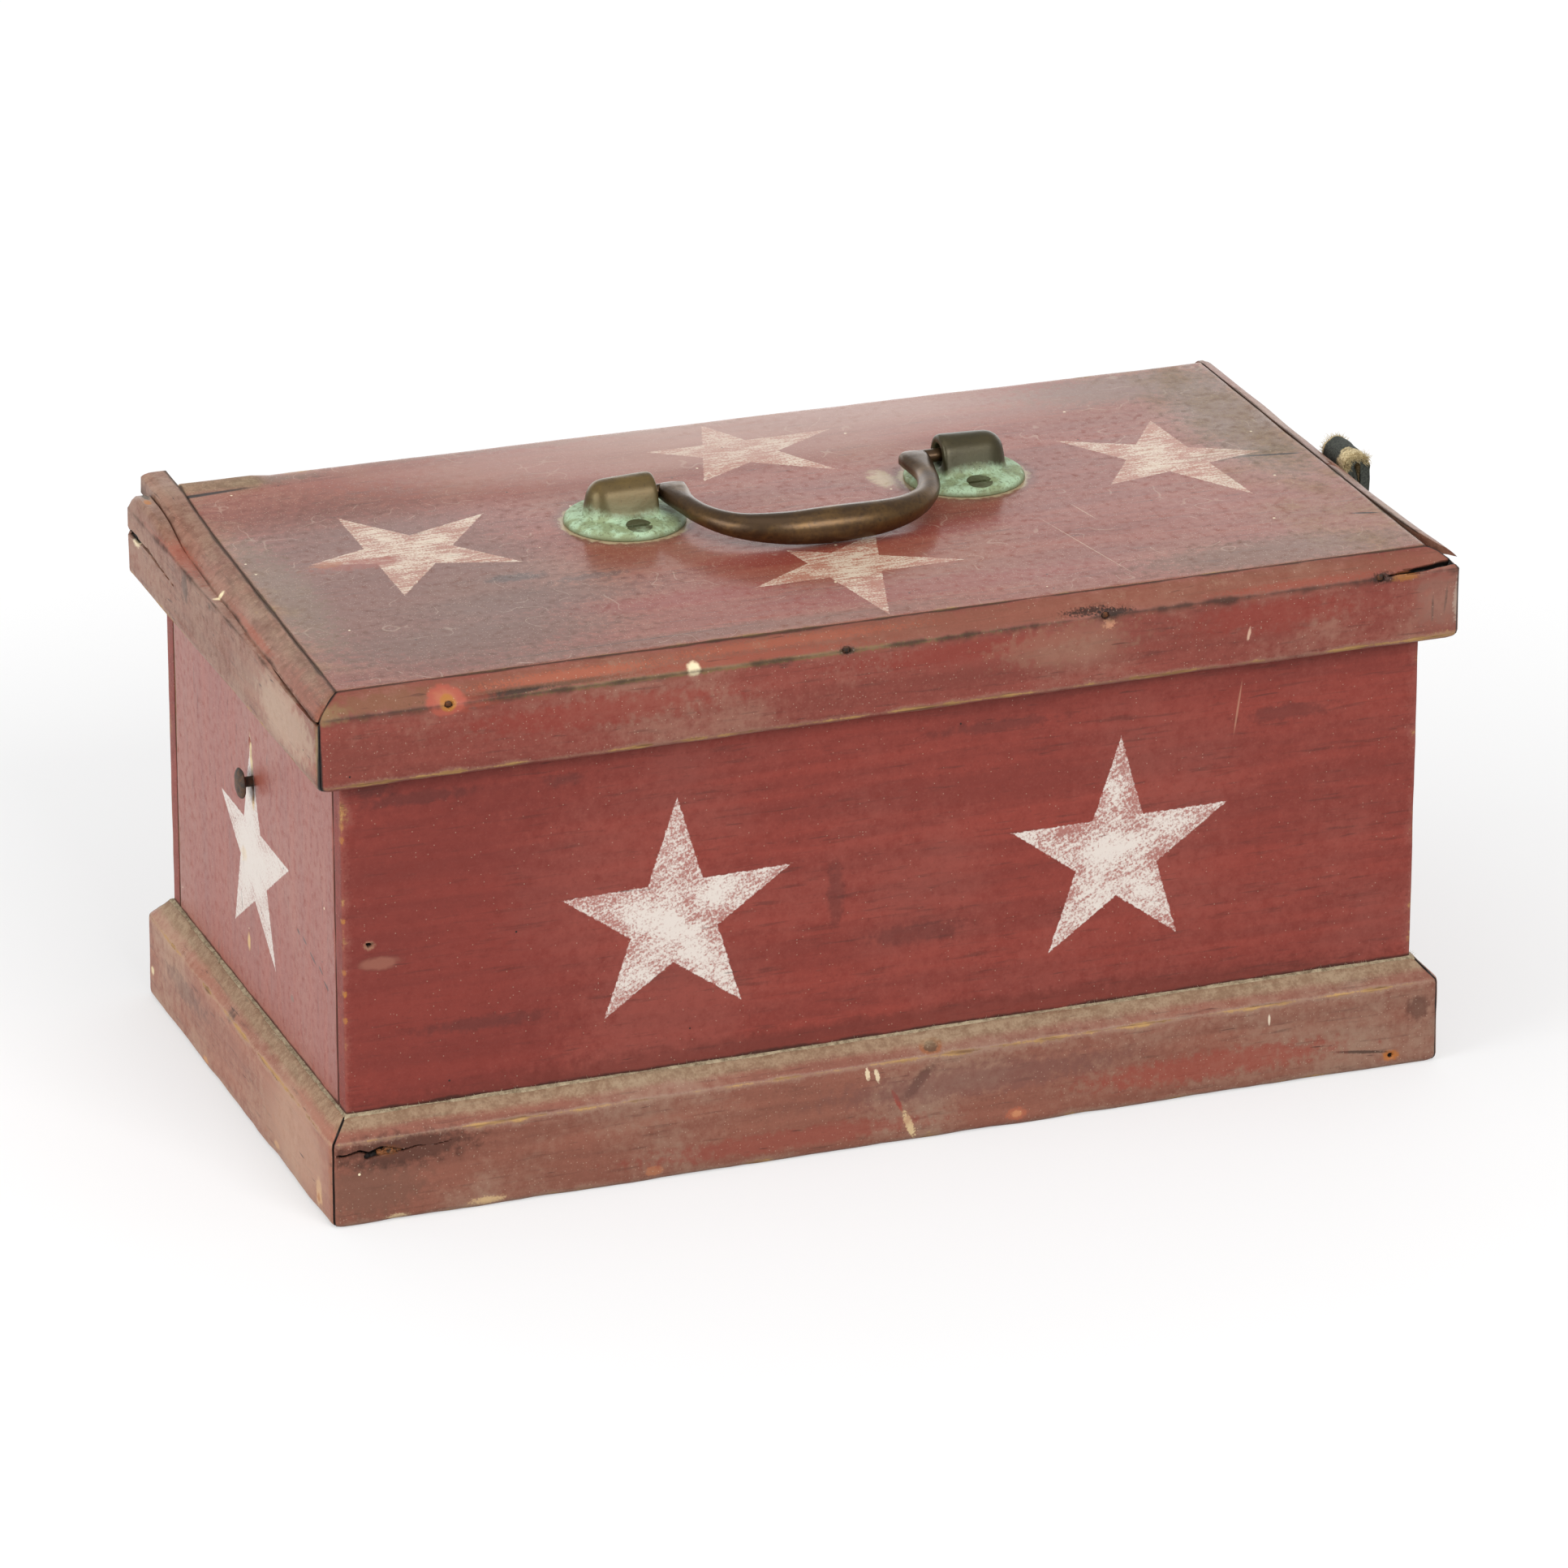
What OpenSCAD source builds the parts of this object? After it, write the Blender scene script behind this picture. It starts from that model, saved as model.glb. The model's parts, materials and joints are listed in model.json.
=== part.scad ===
// Sailor's lidded wooden box: a nailed board case on a chamfered plinth, a lipped lid on
// two butt hinges, and a loose cast bail handle on the lid. Origin under the middle of the case.

/* [Case] */
// Length of the case outside its boards
case_l = 400; // [320:1:480]
// Depth of the case outside its boards
case_d = 204; // [170:1:250]
// Height of the rim that the lid closes on
case_h = 185; // [140:1:240]
// Thickness of the front, back and end boards
board_t = 8.5; // [7.5:0.5:12]
// Thickness of the bottom board
bottom_t = 9; // [7:0.5:14]

/* [Plinth] */
// Height of the plinth where it meets the case
plinth_h = 38.5; // [30:0.5:50]
// Thickness of the plinth strips
plinth_t = 8.2; // [6:0.1:12]
// Height of the chamfer along the plinth's top
plinth_chamfer_h = 7; // [3:0.5:10]
// Width of the flat ledge left behind that chamfer
plinth_ledge = 1.6; // [0.8:0.1:3]
// Worn radius on the plinth's lower edge
plinth_arris = 2.5; // [1:0.1:4]

/* [Lid] */
// Thickness of the lid board
lid_t = 11; // [9:0.5:16]
// Room between the case and the lid's lips
lid_play = 1.5; // [0.8:0.1:3]
// Rest gap between the rim and the lid board
lid_gap = 0.3; // [0.3:0.05:0.6]
// Depth of the lip strips
strip_h = 33; // [26:0.5:42]
// Thickness of the lip strips
strip_t = 9.5; // [7:0.1:13]
// Height of the rounded chamfer along the strips' top
strip_chamfer_h = 7; // [4:0.5:8]
// Worn radius on the strips' lower edge
strip_arris = 3; // [1:0.1:4]
// How far the end strips run past the back of the lid board
strip_tail = 8; // [6:0.5:12]
// How far the split-off left cap runs past its strip
cap_tail = 8; // [2:0.5:10]
// How far the lid board's left end is out of square at the back
lid_skew = 7; // [0:0.5:8]
// Opening of the left strip's split at the front corner
cap_split = 1.2; // [0.4:0.1:2.5]
// Length of the splinter on the right strip
splinter_l = 88; // [50:1:120]
// Angle that the splinter stands out of line
splinter_angle = 2.4; // [0.5:0.1:4]

/* [Handle] */
// Distance of the handle's middle to the right of the lid's middle
handle_x = 9.7; // [-20:0.1:20]
// Distance of the handle's pivot behind the lid's middle
handle_y = 18; // [-10:0.5:30]
// Distance between the centres of the two bases
handle_span = 129; // [115:0.5:150]
// Radius of the round flange of a base
flange_r = 22; // [20:0.5:26]
// Thickness of the flange at its rim
flange_rim = 3; // [2.5:0.1:4]
// Thickness of the flange at the foot of its hood
flange_t = 4.6; // [4.2:0.1:5.5]
// Height of the pivot above the lid
pivot_h = 9.6; // [8.8:0.1:11]
// Radius of the hood over the pivot
hood_r = 7.6; // [6.8:0.1:8.4]
// Distance of the hood's flat face from the flange's centre
hood_face = 10.5; // [9:0.5:12]
// Distance of the hood's rounded end from the flange's centre
hood_end = 15.5; // [13:0.5:17]
// Half width of the hood where it meets the flange
hood_foot = 9.6; // [8.8:0.1:11]
// Radius of the worn mouth of the pivot socket
mouth_r = 4.1; // [3.4:0.1:4.6]
// Depth of that worn mouth
mouth_depth = 3; // [1:0.5:4]
// Depth of the whole socket
socket_depth = 13; // [11:0.5:14]
// Radius of the pivots on the bail
pivot_r = 2.5; // [2:0.1:3]
// Running clearance round the pivots
pivot_fit = 0.1; // [0.05:0.01:0.1]
// How far a pivot reaches into its socket
pivot_reach = 9.5; // [8:0.5:10]
// Sideways room between a hood and the bail
bail_room = 2.4; // [1.6:0.1:4]
// How far the loose bail has slid to the left
bail_slide = 1.2; // [0:0.1:1.5]
// Distance from the pivots to the middle of the grip
bail_reach = 46; // [40:0.5:56]
// Radius at the middle of the grip
grip_r = 6.6; // [5:0.1:7.5]
// Radius of the arms
arm_r = 3.9; // [3:0.1:5]
// Half width of the spread ends of the arms
ear_half_w = 5.6; // [4.4:0.1:6.5]
// Half thickness of the spread ends of the arms
ear_half_t = 2.7; // [2.6:0.1:3.6]
// Squareness of the bail's curve: 2 is an ellipse
bail_square = 2.7; // [2:0.1:3.4]
// Rest gap between the grip and the lid
bail_gap = 0.3; // [0.3:0.05:0.8]
// Distance of each base screw from the flange's centre
base_screw_at = 15.4; // [14.5:0.1:17]
// Radius of a base screw's head
base_screw_head = 4.1; // [3.4:0.1:4.5]
// Radius of a base screw's shank
base_screw_r = 2; // [1.5:0.1:2.4]

/* [Hinges] */
// Distance of the middle of each hinge from the end of the case
hinge_end = 72; // [50:1:100]
// Length of a hinge
hinge_l = 42; // [32:1:60]
// Width of a hinge leaf on the wood
hinge_leaf_w = 7.4; // [6.5:0.1:7.5]
// Thickness of a hinge leaf
hinge_leaf_t = 1.2; // [1:0.1:1.5]
// Radius of the knuckles
knuckle_r = 2.4; // [2.2:0.1:3.2]
// Radius of the hinge pin
hinge_pin_r = 1.1; // [0.9:0.05:1.2]
// Running clearance of the hinge pin
hinge_fit = 0.05; // [0.02:0.01:0.1]
// Gap between knuckles, and between a knuckle and the wood
knuckle_gap = 0.4; // [0.3:0.05:0.6]
// Radius of a hinge screw's head
hinge_screw_head = 1.9; // [1.6:0.1:2.2]
// Radius of a hinge screw's shank
hinge_screw_r = 1; // [0.8:0.1:1.2]
// Length of a hinge screw
hinge_screw_l = 8; // [6:0.5:10]

/* [Nails] */
// Width of a cut nail's shank
nail_w = 2; // [1.4:0.1:2.6]
// Width of a cut nail's head
nail_head = 3.6; // [3:0.1:4.4]
// Thickness of a cut nail's head
nail_head_t = 0.9; // [0.6:0.1:1.2]
// Depth that the nails go into the second piece
nail_bite = 15; // [10:0.5:20]
// Depth of the lip nails' heads under the strips' outer face
lip_nail_sink = 1.4; // [1:0.1:2.5]
// Distance of the outermost corner nails from the rim and from the plinth
corner_nail_end = 14; // [8:1:25]
// Number of nails down each corner
corner_nail_count = 4; // [3:1:5]
// Distance of the outer bottom nails from the corners
bottom_nail_end = 70; // [55:1:75]
// Distance of the outer plinth nails from the corners
plinth_nail_end = 40; // [30:1:45]
// Height of the plinth nails
plinth_nail_z = 19; // [15:0.5:22]
// Height of the stout nail on the left end
end_nail_z = 124; // [80:1:145]
// Distance of the stout nail behind the middle of the end
end_nail_y = 0; // [-30:1:30]
// Radius of the stout nail's head
end_nail_head = 5.6; // [4:0.1:7]
// Thickness of the stout nail's head
end_nail_head_t = 2.2; // [1.5:0.1:3]
// Thickness of that head at its rim
end_nail_rim = 1; // [0.6:0.1:1.4]
// Radius of the stout nail's shank
end_nail_r = 1.9; // [1.2:0.1:2.5]
// How far the stout nail stands out under its head
end_nail_proud = 3.6; // [2:0.1:6]

/* [Strap stub] */
// Width of the leather strap stub on the right lip
strap_w = 19.5; // [14:0.5:30]
// Distance of the stub behind the middle of the lip
strap_y = 1.5; // [-20:0.5:20]
// Thickness of the leather
strap_t = 4; // [3:0.1:5]
// Inner radius of its fold
strap_fold_r = 1.4; // [1:0.1:3]
// Length of its nailed flap
strap_flap = 20; // [16:0.5:24]
// Length of its loose flap
strap_tab = 15; // [8:0.5:22]
// Radius of a tack's head
tack_head = 3; // [2:0.1:4]
// Distance of the tacks' heads from the end of the nailed flap
tack_margin = 0.5; // [0.3:0.1:2]

/* [Hidden] */
$fn = 48;
fit = 0.05;
overcut = 1;
red_paint = [0.53, 0.27, 0.25];
worn_red = [0.50, 0.33, 0.31];
bare_wood = [0.70, 0.55, 0.38];
bronze = [0.42, 0.33, 0.18];
rusty_iron = [0.30, 0.24, 0.20];
old_leather = [0.22, 0.21, 0.17];

half_l = case_l / 2;
half_d = case_d / 2;
lid_z = case_h + lid_gap;
lid_top = lid_z + lid_t;
lid_half_l = half_l + lid_play;
lid_front = -half_d - lid_play;
strip_z = lid_top - strip_h;
crease_z = lid_top - strip_chamfer_h;
strip_out = lid_half_l + strip_t;

lid_depth = half_d - lid_front;

// Heads are punched a little under the wood, and points stop short of the far face
nail_sink = 0.3;
point_room = 1.5;

hinge_x = half_l - hinge_end;
pin_y = half_d + knuckle_gap + knuckle_r;
pin_z = case_h + lid_gap / 2;
knuckle_l = hinge_l / 3;

pivot_z = lid_top + pivot_h;
hood_inner = handle_span / 2 - hood_face;
ear_x = hood_inner - bail_room - ear_half_w;
bail_tilt = asin((pivot_h - grip_r - bail_gap) / bail_reach);
base_screw_l = flange_rim + lid_t - point_room;

strap_out = 2 * (strap_t + strap_fold_r);
strap_top = lid_top - strap_t - strap_fold_r;
strap_z = strap_top - strap_flap;

// Nails

// A cut nail along -Z with the top of its head at the origin
module cut_nail(shank) {
  translate([-nail_head / 2, -nail_head / 2, -nail_head_t])
    cube([nail_head, nail_head, nail_head_t]);
  translate([-nail_w / 2, -nail_w / 2, -shank])
    cube([nail_w, nail_w, shank - nail_head_t / 2]);
}

// The same nail with the way down to its sunken head
module nail_hole(shank, sink) {
  cut_nail(shank);
  translate([-nail_head / 2, -nail_head / 2, -nail_head_t])
    cube([nail_head, nail_head, nail_head_t + sink + overcut]);
}

// Places of a row of nails from -reach to reach
function row(reach, count) = [for (i = [0:count - 1]) reach * (2 * i / (count - 1) - 1)];

// Four corners, each with nails from the front or back board into an end board
module at_case_nails() {
  low = plinth_h + corner_nail_end;
  high = case_h - corner_nail_end;
  for (side = [-1, 1], face = [-1, 1], step = row((high - low) / 2, corner_nail_count))
    translate([side * (half_l - board_t / 2), face * (half_d - nail_sink), (low + high) / 2 + step])
      rotate([-90 * face, 0, 0])
        children();
}

// Two long rows and two short rows from below into the edges of the boards
module at_bottom_nails() {
  long_count = 4;
  short_count = 2;
  for (face = [-1, 1], x = row(half_l - bottom_nail_end, long_count))
    translate([x, face * (half_d - board_t / 2), nail_sink])
      rotate([180, 0, 0])
        children();
  for (side = [-1, 1], y = row(half_d - bottom_nail_end, short_count))
    translate([side * (half_l - board_t / 2), y, nail_sink])
      rotate([180, 0, 0])
        children();
}

// Nails through the plinth strips into the case
module at_plinth_nails() {
  long_count = 5;
  short_count = 3;
  for (face = [-1, 1], x = row(half_l - plinth_nail_end, long_count))
    translate([x, face * (half_d + plinth_t - nail_sink), plinth_nail_z])
      rotate([-90 * face, 0, 0])
        children();
  for (side = [-1, 1], y = row(half_d - plinth_nail_end, short_count))
    translate([side * (half_l + plinth_t - nail_sink), y, plinth_nail_z])
      rotate([0, 90 * side, 0])
        children();
}

// Nails along the crease of the lip strips into the lid board, unevenly spaced by hand
front_nail_shares = [-0.41, -0.19, -0.05, 0.19, 0.45];
end_nail_shares = [-0.36, 0.1, 0.42];

module at_lid_nails() {
  for (share = front_nail_shares)
    translate([share * case_l, lid_front - strip_t + lip_nail_sink, crease_z])
      rotate([90, 0, 0])
        children();
  for (side = [-1, 1], share = end_nail_shares)
    translate([side * (strip_out - lip_nail_sink), share * case_d, crease_z])
      rotate([0, 90 * side, 0])
        children();
}

case_nail_l = board_t + nail_bite;
bottom_nail_l = bottom_t + nail_bite;
plinth_nail_l = plinth_t + board_t - point_room;
lid_nail_l = strip_t + nail_bite;

module case_nail_holes() { at_case_nails() nail_hole(case_nail_l, nail_sink); }
module bottom_nail_holes() { at_bottom_nails() nail_hole(bottom_nail_l, nail_sink); }
module plinth_nail_holes() { at_plinth_nails() nail_hole(plinth_nail_l, nail_sink); }
module lid_nail_holes() { at_lid_nails() nail_hole(lid_nail_l, lip_nail_sink); }

module case_nails() { color(rusty_iron) at_case_nails() cut_nail(case_nail_l); }
module bottom_nails() { color(rusty_iron) at_bottom_nails() cut_nail(bottom_nail_l); }
module plinth_nails() { color(rusty_iron) at_plinth_nails() cut_nail(plinth_nail_l); }
module lid_nails() { color(rusty_iron) at_lid_nails() cut_nail(lid_nail_l); }

// The stout nail that stands out of the left end: a domed head on a round shank
end_nail_depth = board_t - point_room;
end_nail_l = end_nail_proud + end_nail_depth;

module end_nail() {
  color(rusty_iron)
    translate([-half_l - end_nail_proud, end_nail_y, end_nail_z])
      rotate([0, -90, 0])
        rotate_extrude()
          polygon(concat(
            [for (a = [90:-15:0])
              [end_nail_head * cos(a), end_nail_rim + (end_nail_head_t - end_nail_rim) * sin(a)]],
            [[end_nail_head, 0], [end_nail_r, 0], [end_nail_r, -end_nail_l], [0, -end_nail_l]]));
}

// Case boards: the front and back run the full length over the ends

module long_board(face) {
  difference() {
    translate([-half_l, face > 0 ? half_d - board_t : -half_d, bottom_t])
      cube([case_l, board_t, case_h - bottom_t]);
    case_nail_holes();
    bottom_nail_holes();
    plinth_nail_holes();
    if (face > 0) hinge_mortises(case_h - hinge_leaf_t, hinge_leaf_t + overcut);
    if (face > 0) at_hinge_screws() case_hinge_screw_hole();
  }
}

module end_board(side) {
  difference() {
    translate([side > 0 ? half_l - board_t : -half_l, -half_d + board_t, bottom_t])
      cube([board_t, case_d - 2 * board_t, case_h - bottom_t]);
    case_nail_holes();
    bottom_nail_holes();
    plinth_nail_holes();
    if (side < 0)
      translate([-half_l - overcut, end_nail_y, end_nail_z])
        rotate([0, 90, 0])
          cylinder(r = end_nail_r + fit, h = end_nail_depth + overcut);
  }
}

module front_board() { color(red_paint) long_board(-1); }
module back_board() { color(red_paint) long_board(1); }
module left_end_board() { color(red_paint) end_board(-1); }
module right_end_board() { color(red_paint) end_board(1); }

module bottom_board() {
  color(bare_wood)
    difference() {
      translate([-half_l, -half_d, 0]) cube([case_l, case_d, bottom_t]);
      bottom_nail_holes();
      plinth_nail_holes();
    }
}

// Mouldings

// Points of a rounded lower edge and a full-bodied chamfer, out from the inner face
function edge_arc(t, r) =
  [for (a = [-90:22.5:0]) [t - r + r * cos(a), r + r * sin(a)]];
function nose_arc(t, h, drop, full) =
  [for (a = [0:15:90])
    [t * pow(cos(a), 2 / full), h - drop + drop * pow(sin(a), 2 / full)]];

module plinth_section() {
  polygon(concat([[0, 0]], edge_arc(plinth_t, plinth_arris),
    [[plinth_t, plinth_h - plinth_chamfer_h], [plinth_ledge, plinth_h], [0, plinth_h]]));
}

nose_fullness = 1.4;

module strip_section() {
  polygon(concat([[0, 0]], edge_arc(strip_t, strip_arris),
    nose_arc(strip_t, strip_h, strip_chamfer_h, nose_fullness)));
}

// A section drawn outwards from a face at y = -reach, run along X
module run_front(reach, length, z) {
  translate([length / 2, -reach, z])
    rotate([90, 0, -90])
      linear_extrude(length)
        children();
}

// The same run turned to another side
module run_side(reach, length, z, turn) {
  rotate([0, 0, turn])
    run_front(reach, length, z)
      children();
}

// A plan outline carried through the whole height
module plan(points) {
  translate([0, 0, -overcut])
    linear_extrude(lid_top + 2 * overcut)
      polygon(points);
}

// Plinth strips, mitred at the four corners
plinth_x = half_l + plinth_t;
plinth_y = half_d + plinth_t;

module plinth_long(turn) {
  color(red_paint)
    difference() {
      intersection() {
        run_side(half_d, 2 * plinth_x, 0, turn) plinth_section();
        rotate([0, 0, turn])
          plan([[-half_l, -half_d], [-plinth_x, -plinth_y], [plinth_x, -plinth_y], [half_l, -half_d]]);
      }
      plinth_nail_holes();
    }
}

module plinth_short(turn) {
  color(red_paint)
    difference() {
      intersection() {
        run_side(half_l, 2 * plinth_y, 0, turn) plinth_section();
        rotate([0, 0, turn])
          plan([[-half_d, -half_l], [-plinth_y, -plinth_x], [plinth_y, -plinth_x], [half_d, -half_l]]);
      }
      plinth_nail_holes();
    }
}

module plinth_front() { plinth_long(0); }
module plinth_back() { plinth_long(180); }
module plinth_left() { plinth_short(-90); }
module plinth_right() { plinth_short(90); }

// Lid

module lid_board() {
  color(worn_red)
    difference() {
      translate([0, 0, lid_z])
        linear_extrude(lid_t)
          polygon([[-lid_half_l, lid_front], [lid_half_l, lid_front],
            [lid_half_l, half_d], [-lid_half_l + lid_skew, half_d]]);
      lid_nail_holes();
      hinge_mortises(lid_z - overcut, hinge_leaf_t + overcut);
      at_hinge_screws() lid_hinge_screw_hole();
      at_base_screws() base_screw_hole();
    }
}

module lid_strip_front() {
  outer_y = lid_front - strip_t;
  color(red_paint)
    difference() {
      intersection() {
        run_front(-lid_front, 2 * strip_out, strip_z) strip_section();
        plan([[-lid_half_l, lid_front], [-strip_out, outer_y],
          [strip_out, outer_y], [lid_half_l, lid_front]]);
      }
      lid_nail_holes();
    }
}

// An end strip before it split, mitred in front and running past the board at the back
module end_strip(side, tail) {
  back = half_d + tail;
  intersection() {
    run_side(lid_half_l, 2 * (back + strip_t), strip_z, 90 * side) strip_section();
    plan([[side * lid_half_l, lid_front], [side * strip_out, lid_front - strip_t],
      [side * strip_out, back], [side * lid_half_l, back]]);
  }
}

// The room that the split opened under the left cap, widest at the front
module left_split() {
  reach = half_d + strip_tail + overcut;
  front = lid_front - strip_t - overcut;
  translate([-lid_half_l + overcut, 0, 0])
    rotate([90, 0, -90])
      linear_extrude(strip_t + 2 * overcut)
        polygon([[-front, crease_z - cap_split], [-front, lid_top + overcut],
          [-reach, lid_top + overcut], [-reach, crease_z]]);
}

module lid_strip_left() {
  color(red_paint)
    difference() {
      end_strip(-1, strip_tail);
      left_split();
      lid_nail_holes();
    }
}

// The cap has turned about the front corner to follow the board's end
module lid_cap_left() {
  corner = [-lid_half_l, lid_front, 0];
  color(worn_red)
    difference() {
      translate(corner)
        rotate([0, 0, -atan(lid_skew / lid_depth)])
          translate(-corner)
            intersection() {
              end_strip(-1, strip_tail + cap_tail);
              translate([-strip_out - overcut, lid_front - strip_t - overcut, crease_z])
                cube([strip_t + 2 * overcut, case_d + 2 * strip_out, strip_chamfer_h + overcut]);
            }
      lid_nail_holes();
    }
}

// The front stretch of the right strip's nose, which has split off and sprung outwards
module splinter_region(back, clearance) {
  front = lid_front - strip_t - overcut;
  translate([lid_half_l - overcut, front, crease_z + clearance])
    cube([strip_t + 2 * overcut, back - front, strip_chamfer_h + overcut]);
}

splinter_back = lid_front + splinter_l;
splinter_seat = 0.15;

module lid_strip_right() {
  color(red_paint)
    difference() {
      end_strip(1, strip_tail);
      splinter_region(splinter_back, 0);
      lid_nail_holes();
      at_strap_tacks() strap_tack();
    }
}

module lid_splinter_right() {
  hinge_at = [lid_half_l, splinter_back, crease_z + splinter_seat];
  color(worn_red)
    difference() {
      translate(hinge_at)
        rotate([0, 0, splinter_angle])
          translate(-hinge_at + [splinter_seat, 0, 0])
            intersection() {
              end_strip(1, strip_tail);
              splinter_region(splinter_back - strip_t * sin(splinter_angle) - splinter_seat, splinter_seat);
            }
      lid_nail_holes();
    }
}

// Hinges

// Recesses for the leaves, the same in plan for the lid and the case
module hinge_mortises(z, depth) {
  for (side = [-1, 1])
    translate([side * hinge_x - hinge_l / 2, half_d - hinge_leaf_w, z])
      cube([hinge_l, hinge_leaf_w + overcut, depth]);
}

module at_hinge_screws() {
  for (side = [-1, 1], end = [-1, 1])
    translate([side * hinge_x + end * hinge_l / 3, half_d - hinge_leaf_w / 2, 0])
      children();
}

// A countersunk wood screw along -Z with the top of its head at the origin
module wood_screw(head, shank, length, clearance) {
  flare = head - shank;
  translate([0, 0, -flare])
    cylinder(r1 = shank + clearance, r2 = head + clearance, h = flare);
  translate([0, 0, -length])
    cylinder(r = shank + clearance, h = length - flare + fit);
}

// The same with its driving slot, as wide as it is deep
slot_share = 0.28;

module slotted_screw(head, shank, length) {
  slot = head * slot_share;
  difference() {
    wood_screw(head, shank, length, 0);
    translate([-head - overcut, -slot / 2, -slot])
      cube([2 * head + 2 * overcut, slot, slot + overcut]);
  }
}

module case_hinge_screw_hole() {
  translate([0, 0, case_h]) wood_screw(hinge_screw_head, hinge_screw_r, hinge_screw_l, fit);
}

module lid_hinge_screw_hole() {
  translate([0, 0, lid_z])
    mirror([0, 0, 1])
      wood_screw(hinge_screw_head, hinge_screw_r, hinge_screw_l, fit);
}

// One leaf about the pin: its plate on the wood, its knuckles and the webs between them
module hinge_leaf(z, knuckles) {
  difference() {
    union() {
      translate([-hinge_l / 2, half_d - hinge_leaf_w, z])
        cube([hinge_l, hinge_leaf_w, hinge_leaf_t]);
      for (k = knuckles)
        translate([k * knuckle_l - hinge_l / 2 + knuckle_gap / 2, 0, 0]) {
          translate([0, half_d - hinge_leaf_w / 2, z])
            cube([knuckle_l - knuckle_gap, hinge_leaf_w / 2 + pin_y - half_d, hinge_leaf_t]);
          translate([0, pin_y, pin_z])
            rotate([0, 90, 0])
              cylinder(r = knuckle_r, h = knuckle_l - knuckle_gap);
        }
    }
    translate([-hinge_l, pin_y, pin_z])
      rotate([0, 90, 0])
        cylinder(r = hinge_pin_r + hinge_fit, h = 2 * hinge_l);
  }
}

module case_leaf(side) {
  color(rusty_iron)
    difference() {
      translate([side * hinge_x, 0, 0]) hinge_leaf(case_h - hinge_leaf_t, [0, 2]);
      at_hinge_screws() case_hinge_screw_hole();
    }
}

module lid_leaf(side) {
  color(rusty_iron)
    difference() {
      translate([side * hinge_x, 0, 0]) hinge_leaf(lid_z, [1]);
      at_hinge_screws() lid_hinge_screw_hole();
    }
}

module hinge_pin(side) {
  color(rusty_iron)
    translate([side * hinge_x - hinge_l / 2, pin_y, pin_z])
      rotate([0, 90, 0])
        cylinder(r = hinge_pin_r, h = hinge_l);
}

module hinge_case_leaf_left() { case_leaf(-1); }
module hinge_case_leaf_right() { case_leaf(1); }
module hinge_lid_leaf_left() { lid_leaf(-1); }
module hinge_lid_leaf_right() { lid_leaf(1); }
module hinge_pin_left() { hinge_pin(-1); }
module hinge_pin_right() { hinge_pin(1); }

module hinge_case_screws() {
  color(rusty_iron)
    at_hinge_screws()
      translate([0, 0, case_h])
        slotted_screw(hinge_screw_head, hinge_screw_r, hinge_screw_l);
}

module hinge_lid_screws() {
  color(rusty_iron)
    at_hinge_screws()
      translate([0, 0, lid_z])
        mirror([0, 0, 1])
          slotted_screw(hinge_screw_head, hinge_screw_r, hinge_screw_l);
}

// Handle

module at_base_screws() {
  for (side = [-1, 1], face = [-1, 1])
    translate([handle_x + side * handle_span / 2, handle_y + face * base_screw_at, lid_top + flange_rim])
      children();
}

module base_screw_hole() {
  wood_screw(base_screw_head, base_screw_r, base_screw_l, fit);
  cylinder(r = base_screw_head + fit, h = flange_t + overcut);
}

module handle_screws() {
  color(bronze) at_base_screws() slotted_screw(base_screw_head, base_screw_r, base_screw_l);
}

// The round flange: a low crown with a rounded rim
module flange() {
  rotate_extrude()
    polygon(concat([[0, 0], [flange_r, 0]],
      [for (a = [0:15:75]) [flange_r - flange_rim * (1 - cos(a)), flange_rim * sin(a)]],
      [[flange_r - flange_rim, flange_rim], [hood_foot, flange_t], [0, flange_t]]));
}

// The hood over the pivot: an arched flat face drawn down to a rounded end
hood_bevel = 0.8;
hood_drop = 0.6;
hood_beyond = 1.6;

module hood() {
  back = hood_end - hood_foot;
  hull() {
    translate([-hood_face, 0, pivot_h])
      rotate([0, 90, 0])
        cylinder(r = hood_r - hood_bevel, h = hood_bevel);
    translate([-hood_face + hood_bevel, 0, pivot_h])
      rotate([0, 90, 0])
        cylinder(r = hood_r, h = hood_bevel);
    translate([back + hood_beyond, 0, pivot_h]) sphere(r = hood_r - hood_drop, $fn = 32);
    translate([back, 0, flange_rim]) cylinder(r = hood_foot, h = hood_bevel, $fn = 32);
    translate([-hood_face, -hood_foot, flange_rim]) cube([hood_bevel, 2 * hood_foot, hood_bevel]);
  }
}

// A base seen from its own flange centre, with the pivot socket opening towards -X
module handle_base() {
  difference() {
    union() {
      flange();
      hood();
    }
    translate([-hood_face - overcut, 0, pivot_h])
      rotate([0, 90, 0])
        cylinder(r = mouth_r, h = mouth_depth + overcut);
    translate([-hood_face - overcut, 0, pivot_h])
      rotate([0, 90, 0])
        cylinder(r = pivot_r + pivot_fit, h = socket_depth + overcut);
  }
}

module base_at(side) {
  color(bronze)
    difference() {
      translate([handle_x + side * handle_span / 2, handle_y, lid_top])
        rotate([0, 0, side > 0 ? 0 : 180])
          handle_base();
      at_base_screws() base_screw_hole();
    }
}

module handle_base_left() { base_at(-1); }
module handle_base_right() { base_at(1); }

// The bail: one tube swept along a squared curve, spread flat at the ears and swelling at the grip
bail_steps = 56;
bail_sides = 16;
ear_length = 17;
ear_over = 3.4;
ear_thin = 0.55;
arm_flat = 0.92;
grip_fullness = 1.6;

function signed_pow(v, e) = sign(v) * pow(abs(v), e);
function smooth(t) = let (c = min(1, max(0, t))) c * c * (3 - 2 * c);
function blend(a, b, t) = a + (b - a) * t;

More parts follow.
